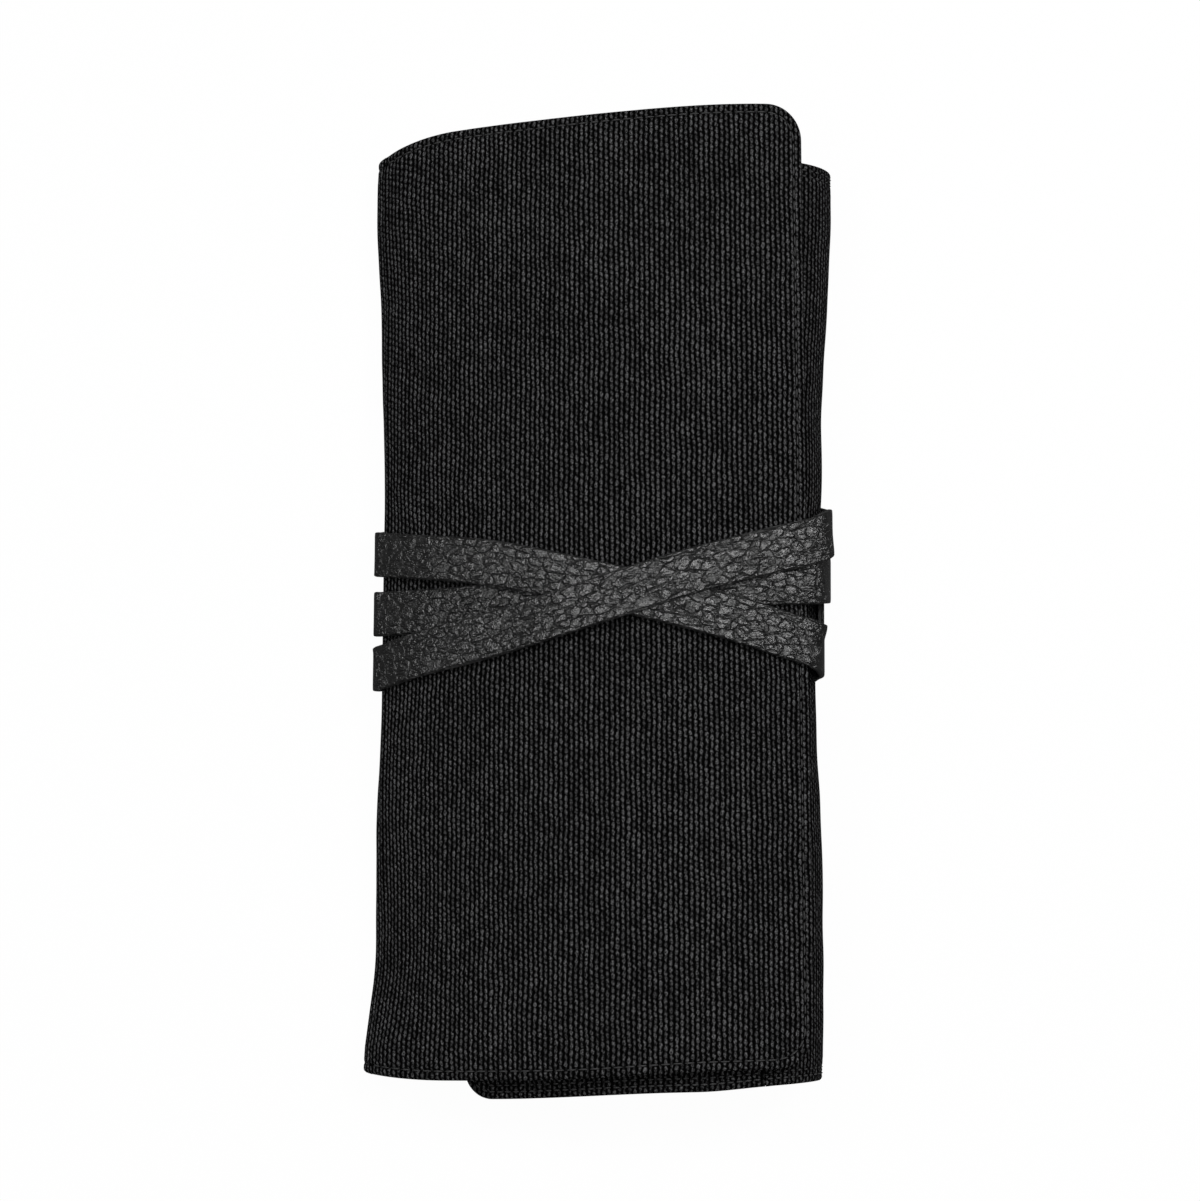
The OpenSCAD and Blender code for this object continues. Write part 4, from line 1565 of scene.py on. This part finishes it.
@dataclass
class Pocket(Assembly):
    """A pocket of one sheet, sewn down at its sides and foot, with a tape over its mouth.

    Its span, foot, tape and tape row are places across the pocket, and so are its seams. The two faces of the tape
    are given by how far they stand over the mouth and over the sheet.
    """

    label: str
    node: str
    tape_node: str
    held: str
    rests_on: str
    span: tuple[float, float]
    columns: int
    seams: tuple[float, ...]
    foot: tuple[float, float]
    tape: tuple[float, float]
    tape_row: tuple[float, float]
    flat_width: float
    tape_width: float
    sheet: float = 0.8
    low: float = 12 - S.half_len
    length: float = 150.0
    tape_fall: float = 8.0
    tape_faces: tuple[tuple[float, float], ...] = ((0.55, 1.32), (0.1, 0.84))
    tape_rim: tuple[float, float] = (0.45, 0.02)
    tape_seam: float = 6.8
    tape_seam_lift: float = 1.34

    @property
    def mouth(self) -> float:
        """Place of the mouth along the roll."""
        return self.low + self.length

    def bag(self, a: Array, y: Array, extra: Array) -> Array:
        """The pocket's own surface.

        Args:
            a: Places across the pocket.
            y: Places along the roll.
            extra: Heights over the sheet's inner face.

        Returns:
            Points of the surface.
        """
        raise NotImplementedError

    def row(self, start: tuple[float, float], end: tuple[float, float], lift: float, gap: float) -> Row:
        """A straight row of stitches on the pocket.

        Args:
            start: Its first point, across and along.
            end: Its last point.
            lift: How high over the bag's inner face the thread lies.
            gap: Spacing of the stitches.

        Returns:
            Points and outward directions.
        """
        a, y = even_points(np.array([start, end], float), gap).T
        here, out = (self.bag(a, y, np.full_like(a, lift + extra)) for extra in (0.0, 0.5))
        return here, unit(out - here)

    def bound_mouth(self) -> Piece:
        """A tape sewn over the mouth, down its front and over its rim.

        Returns:
            The tape as an object.
        """
        across = np.linspace(*self.tape, self.columns)
        faces = []
        for rim, height in self.tape_faces:
            top = self.mouth + rim
            a, y = np.meshgrid(across, [*np.linspace(self.mouth - self.tape_fall, top, 9), top, top], indexing="ij")
            faces.append(self.bag(a, y, np.broadcast_to([height] * 9 + [*self.tape_rim], a.shape)))
        u, v = np.meshgrid(across, [*np.linspace(0, 8.3, 9), 8.9, 9.3], indexing="ij")
        return MeshMaker.shell(f"{self.label}_tape", *faces, np.stack([v, u], -1))

    def build(self) -> None:
        """Makes the sheet, the tape and both rows of stitches."""
        f, sheet = self.finishes, f"{self.label}_sleeve"
        a, y = np.meshgrid(np.linspace(*self.span, self.columns), np.linspace(self.low, self.mouth, 76), indexing="ij")
        sleeve = MeshMaker.shell(sheet, self.bag(a, y, self.sheet), self.bag(a, y, 0.0), np.stack([a, y], -1))
        self.keep(sleeve, f.lining, Slot.LINING, self.node)
        thread = Thread(radius=0.16, stitch=2.4)
        runs = [((x, self.low), (x, self.mouth)) for x in self.seams]
        runs.append(((self.foot[0], self.low + 0.8), (self.foot[1], self.low + 0.8)))
        rows = [self.row(*run, self.sheet, thread.stitch) for run in runs]
        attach(thread.sew(f"{self.label}_stitching", rows, f.thread), self.body.value)
        ends = ((x, self.mouth - self.tape_seam) for x in self.tape_row)
        rows = [self.row(*ends, self.tape_seam_lift, thread.stitch)]
        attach(thread.sew(f"{self.label}_tape_stitching", rows, f.thread), self.body.value)
        tape = self.keep(self.bound_mouth(), f.tape, Slot.TAPE, self.tape_node)


@dataclass
class SlipPocket(Pocket):
    """The inner panel's wide pocket, which hangs under its lining."""

    place: Place | None = None

    def bag(self, a: Array, y: Array, extra: Array) -> Array:
        """One wide bulge under the inner panel.

        Args:
            a: Places across the pocket.
            y: Places along the roll.
            extra: Heights over the sheet's inner face.

        Returns:
            Points of the surface.
        """
        start, end = self.span
        share = np.clip((a - start - 2) / (end - start - 4), 0, 1)
        room = 5.8 * np.power(np.sin(np.pi * share), 0.8) * smooth((y - self.low) / 16 + 0.15)
        sag = 0.35 * ripple(a, y, 77, 30) * np.sin(np.pi * share)
        return self.place(a, y, S.panel_t + 0.12 + room + sag + extra)


@dataclass
class WatchPockets(Pocket):
    """Two long pockets of one sheet on the back, sewn down between them."""

    rooms: tuple[tuple[float, float, float], ...] = ((-42.0, -2.0, 5.0), (2.0, 39.0, 10.5))

    def bag(self, a: Array, y: Array, extra: Array) -> Array:
        """Two bulges side by side over the back's lining.

        Args:
            a: Places across the pocket.
            y: Places along the roll.
            extra: Heights over the sheet's inner face.

        Returns:
            Points of the surface.
        """
        z = np.zeros_like(a)
        for start, end, high in self.rooms:
            share = np.clip((a - start) / (end - start), 0, 1)
            close = smooth((y - self.low) / 14 + 0.12)
            z = np.maximum(z, high * np.power(np.sin(np.pi * share), 0.75) * close)
        sag = 0.3 * ripple(a, y, 61, 34) * np.clip(z / 5, 0, 1)
        return np.stack([a, y, S.back_t + 0.12 + z - np.abs(sag) + extra], -1)


@dataclass
class Fold(Assembly):
    """The canvas and the lining of a fold, which lies between two bodies."""

    label: str
    panel: Panel
    low: Array
    high: Array
    thick: float
    canvas: Material
    thread: Thread
    lining_share: float
    lining: tuple[float, ...] = (1.45, 1.95, 5.0, 3.0, 0.05)
    seam_depth: float = 0.36
    flat_length: float = 0.25
    lining_length: float = 0.23

    def bend(self, piece: Piece) -> None:
        """Bakes a piece's transform into its mesh."""
        start, end = (((x - S.middle_x) * MM, 0.0, z * MM) for x, z in (self.low, self.high))
        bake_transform(piece)
        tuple(start)
        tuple(end)

    def build(self) -> None:
        """Makes the cover, the lining and the stitches."""
        panel, reach = self.panel, self.panel.reach
        cover = dress(panel.canvas(self.thick), self.canvas)
        lining = dress(panel.ply(f"{self.label}_inside", *self.lining), self.finishes.lining)
        rows = []
        for seam in panel.edge.seams:
            for y in (seam - S.half_len, S.half_len - seam):
                line = even_points(np.array([[0.2, y], [reach - 0.2, y]]), self.thread.stitch)
                rows.append(on_surface(panel.place, line, self.seam_depth))
        self.bend(self.thread.sew(f"{self.label}_stitching", rows, self.finishes.thread))
        for piece, slot, node in ((cover, Slot.CANVAS, "canvas"), (lining, Slot.LINING, "lining")):
            self.bend(piece)
            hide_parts(f"{self.label}_{node}")
            log.info("%s: %d faces", piece.name, len(piece.data.polygons))
        inside = reach * self.lining_share * MM
        area = inside * self.lining_length
        reach * MM


@dataclass
class Roll:
    """The whole roll, assembly by assembly."""

    finishes: Finishes
    strap: Strap = field(default_factory=Strap)
    close_thread: Thread = Thread(radius=0.24, stitch=2.2)

    def __post_init__(self) -> None:
        """Keeps the outer canvas at hand."""
        self.outer = Outer(self.strap)

    def back(self) -> list[Assembly]:
        """The back panel and its two watch pockets.

        Returns:
            Both assemblies.
        """
        place, reach = self.outer.back_place()
        edge = TurnedEdge(6.0, bend=1.6, press=0.35)
        panel = Panel("back_cover", place, reach, edge, free_edge=False, step=2.2, cloth_from=-48.0)
        layers = BackLayers(
            self.finishes,
            Body.BACK,
            panel,
            self.finishes.canvas,
            label="back",
            rests_on="floor",
            cover_flat=(0.095, 0.256),
            lining_flat=(0.095, 0.231),
            wadding=(1.3, 3.4, 9.0, 5.0, 4.0),
            lining=(S.back_t - S.lining, S.back_t, 4.4, 3.0, 0.05),
        )
        pockets = WatchPockets(
            self.finishes,
            Body.BACK,
            label="back_pocket",
            node="back_pockets",
            tape_node="back_pocket_binding",
            held="laid",
            rests_on="back_inside",
            span=(-45.0, 42.0),
            columns=90,
            seams=(-43.5, -0.9, 0.9, 40.5),
            foot=(-44.0, 41.0),
            tape=(-43.5, 40.5),
            tape_row=(-43.0, 40.0),
            flat_width=0.096,
            tape_width=0.093,
        )
        return [layers, pockets]

    def folds(self) -> list[Assembly]:
        """The left fold, which carries the flap, and the right one, which carries the inner panel.

        Returns:
            Both assemblies.
        """
        f = self.finishes
        place, reach = self.outer.left_place()
        edge = TurnedEdge(6.0, bend=1.0, press=0.2, hem=1.2, groove=0.2, seams=f.SEAM)
        panel = Panel("left_fold_cover", place, reach, edge, free_edge=False, step=0.9, cloth_from=57.5)
        low, high = (S.left_centre[0], 0.0), bezier(S.flap_curve, np.array(0.0))
        left = Fold(f, Body.FLAP, "left_fold", panel, low, high, 0.8, f.canvas, Thread(), 0.68)
        place, reach = self.outer.right_place()
        edge = TurnedEdge(6.0, bend=1.0, press=0.2, hem=4.0, groove=0.2, seams=f.DOUBLE_SEAM)
        panel = Panel(
            "right_fold_cover", place, reach, edge, free_edge=False, step=1.6, cloth_from=-48.0, cloth_way=-1.0
        )
        low, high = (S.right_top[0], 0.0), S.right_top
        right = Fold(f, Body.INNER, "right_fold", panel, low, high, S.canvas, f.shaded_canvas, self.close_thread, 0.95)
        return [left, right]

    def inner(self) -> list[Assembly]:
        """The inner panel and its slip pocket.

        Returns:
            Both assemblies.
        """
        place, reach = self.outer.inner_place()
        edge = TurnedEdge(S.inner_corner, seams=self.finishes.DOUBLE_SEAM)
        layers = Layers(
            self.finishes,
            Body.INNER,
            Panel("inner_cover", place, reach, edge, cloth_from=-110.0, cloth_way=-1.0),
            self.finishes.shaded_canvas,
            label="inner",
            rests_on="back_pocket_sleeve",
            cover_flat=(0.093, 0.256),
            lining_flat=(0.077, 0.231),
            wadding=(1.3, 2.75, 8.5, 6.0, 2.0),
            lining=(2.95, 3.5, 4.4, 6.0),
            thread=self.close_thread,
        )
        start, end = 2.0, reach - 5.5
        pocket = SlipPocket(
            self.finishes,
            Body.INNER,
            label="slip_pocket",
            node="inner_pocket",
            tape_node="inner_pocket_binding",
            held="hung",
            rests_on="inner_inside",
            span=(start, end),
            columns=48,
            seams=(start + 0.7, end - 0.7),
            foot=(start + 0.7, end - 0.7),
            tape=(start + 0.5, end - 0.5),
            tape_row=(start + 1, end - 1),
            flat_width=0.081,
            tape_width=0.081,
            place=place,
        )
        return [layers, pocket]

    def flap(self) -> list[Assembly]:
        """The flap.

        Returns:
            Its one assembly.
        """
        place, reach = self.outer.flap_place()
        layers = Layers(
            self.finishes,
            Body.FLAP,
            Panel("flap_cover", place, reach, TurnedEdge(S.flap_corner), cloth_from=70.0),
            self.finishes.canvas,
            label="flap",
            rests_on="back_cover",
            cover_flat=(0.126, 0.256),
            lining_flat=(0.118, 0.231),
            wadding=(1.3, 2.75, 9.0, 8.0, 3.0),
            lining=(2.95, 3.5, 4.4, 7.0),
            thread=Thread(),
        )
        return [layers]

    def build(self) -> None:
        """Makes every piece."""
        for assembly in (*self.back(), *self.folds(), *self.inner(), *self.flap()):
            assembly.build()
            log.info("done: %s of %s", type(assembly).__name__, assembly.body.value)
        self.strap.build(self.finishes.leather)


@dataclass(frozen=True)
class Studio:
    """A pale floor, soft light and the camera."""

    distance: float = 700.0
    tilt: float = 6.0
    roll: float = 0.33
    aim: tuple[float, float, float] = (-1.353, 1.186, 31.0)
    lens: float = 83.54
    floor_half: float = 9.0
    world: float = 0.06

    def floor(self) -> None:
        """A plain pale floor that shows white, keeps the roll's shadow and is dark in its reflections."""
        mesh = bpy.data.meshes.new("floor")
        corners = [(x * self.floor_half, y * self.floor_half, 0) for x, y in ((-1, -1), (1, -1), (1, 1), (-1, 1))]
        mesh.from_pydata(corners, [], [(0, 1, 2, 3)])
        floor = bpy.data.objects.new("floor", mesh)
        bpy.context.scene.collection.objects.link(floor)
        material = bpy.data.materials.new("pale_floor")
        material.use_nodes = True
        nodes, w = material.node_tree.nodes, NodeWriter(material.node_tree)
        shader = nodes["Principled BSDF"]
        shader.inputs["Base Color"].default_value = (0.86, 0.86, 0.86, 1)
        shader.inputs["Roughness"].default_value = 0.9
        rays = w.add("ShaderNodeLightPath")
        black = w.add("ShaderNodeBsdfDiffuse", {"Color": (0, 0, 0)})
        glow = w.add("ShaderNodeEmission", {"Color": (1, 1, 1)})
        dim, share = w.out(rays, "Is Glossy Ray") * 0.88, w.out(rays, "Is Camera Ray") * 0.97
        seen = w.add("ShaderNodeMixShader", {0: dim, 1: w.out(shader), 2: w.out(black)})
        blend = w.add("ShaderNodeMixShader", {0: share, 1: w.out(seen), 2: w.out(glow)})
        w.feed(nodes["Material Output"].inputs["Surface"], w.out(blend))
        mesh.materials.append(material)

    @staticmethod
    def place(item: Piece, where: Vector, turn: Quaternion) -> None:
        """Puts a lamp or the camera into the scene.

        Args:
            item: The lamp or the camera.
            where: Its place.
            turn: Its rotation.
        """
        item.location = where
        item.rotation_mode = "QUATERNION"
        item.rotation_quaternion = turn
        bpy.context.scene.collection.objects.link(item)

    def lights(self) -> None:
        """A large soft light above, a key and a fill, and a plain dim world."""
        world = bpy.data.worlds.new("studio")
        bpy.context.scene.world = world
        world.use_nodes = True
        background = world.node_tree.nodes["Background"]
        background.inputs[0].default_value = (1, 1, 1, 1)
        background.inputs[1].default_value = self.world
        for name, where, size, power in (
            ("top", (-0.05, 0.1, 1.25), 1.4, 12.5),
            ("key", (0.55, 0.35, 0.85), 0.3, 4.0),
            ("fill", (-0.5, 0.45, 0.9), 0.15, 1.4),
        ):
            lamp = bpy.data.lights.new(name, "AREA")
            lamp.shape = "DISK"
            lamp.size = size
            lamp.energy = power
            turn = (Vector((0, 0, 0.02)) - Vector(where)).to_track_quat("-Z", "Y")
            self.place(bpy.data.objects.new(name, lamp), Vector(where), turn)

    def camera(self) -> None:
        """The camera above the roll, leaning towards its lower end."""
        lean = math.radians(self.tilt)
        away = Vector((0, -math.sin(lean), math.cos(lean)))
        data = bpy.data.cameras.new("camera")
        data.lens = self.lens
        data.sensor_width = 36.0
        camera = bpy.data.objects.new("camera", data)
        turn = (-away).to_track_quat("-Z", "Y") @ Quaternion((0, 0, 1), math.radians(self.roll))
        self.place(camera, Vector(self.aim) * MM + away * self.distance * MM, turn)
        bpy.context.scene.camera = camera


def main() -> None:
    """Builds the studio and the roll."""
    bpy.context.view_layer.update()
    scene = bpy.context.scene
    scene.view_settings.view_transform = "Standard"
    studio = Studio()
    studio.camera()
    studio.lights()
    studio.floor()
    Roll(Finishes()).build()


if __name__ == "__main__":
    main()
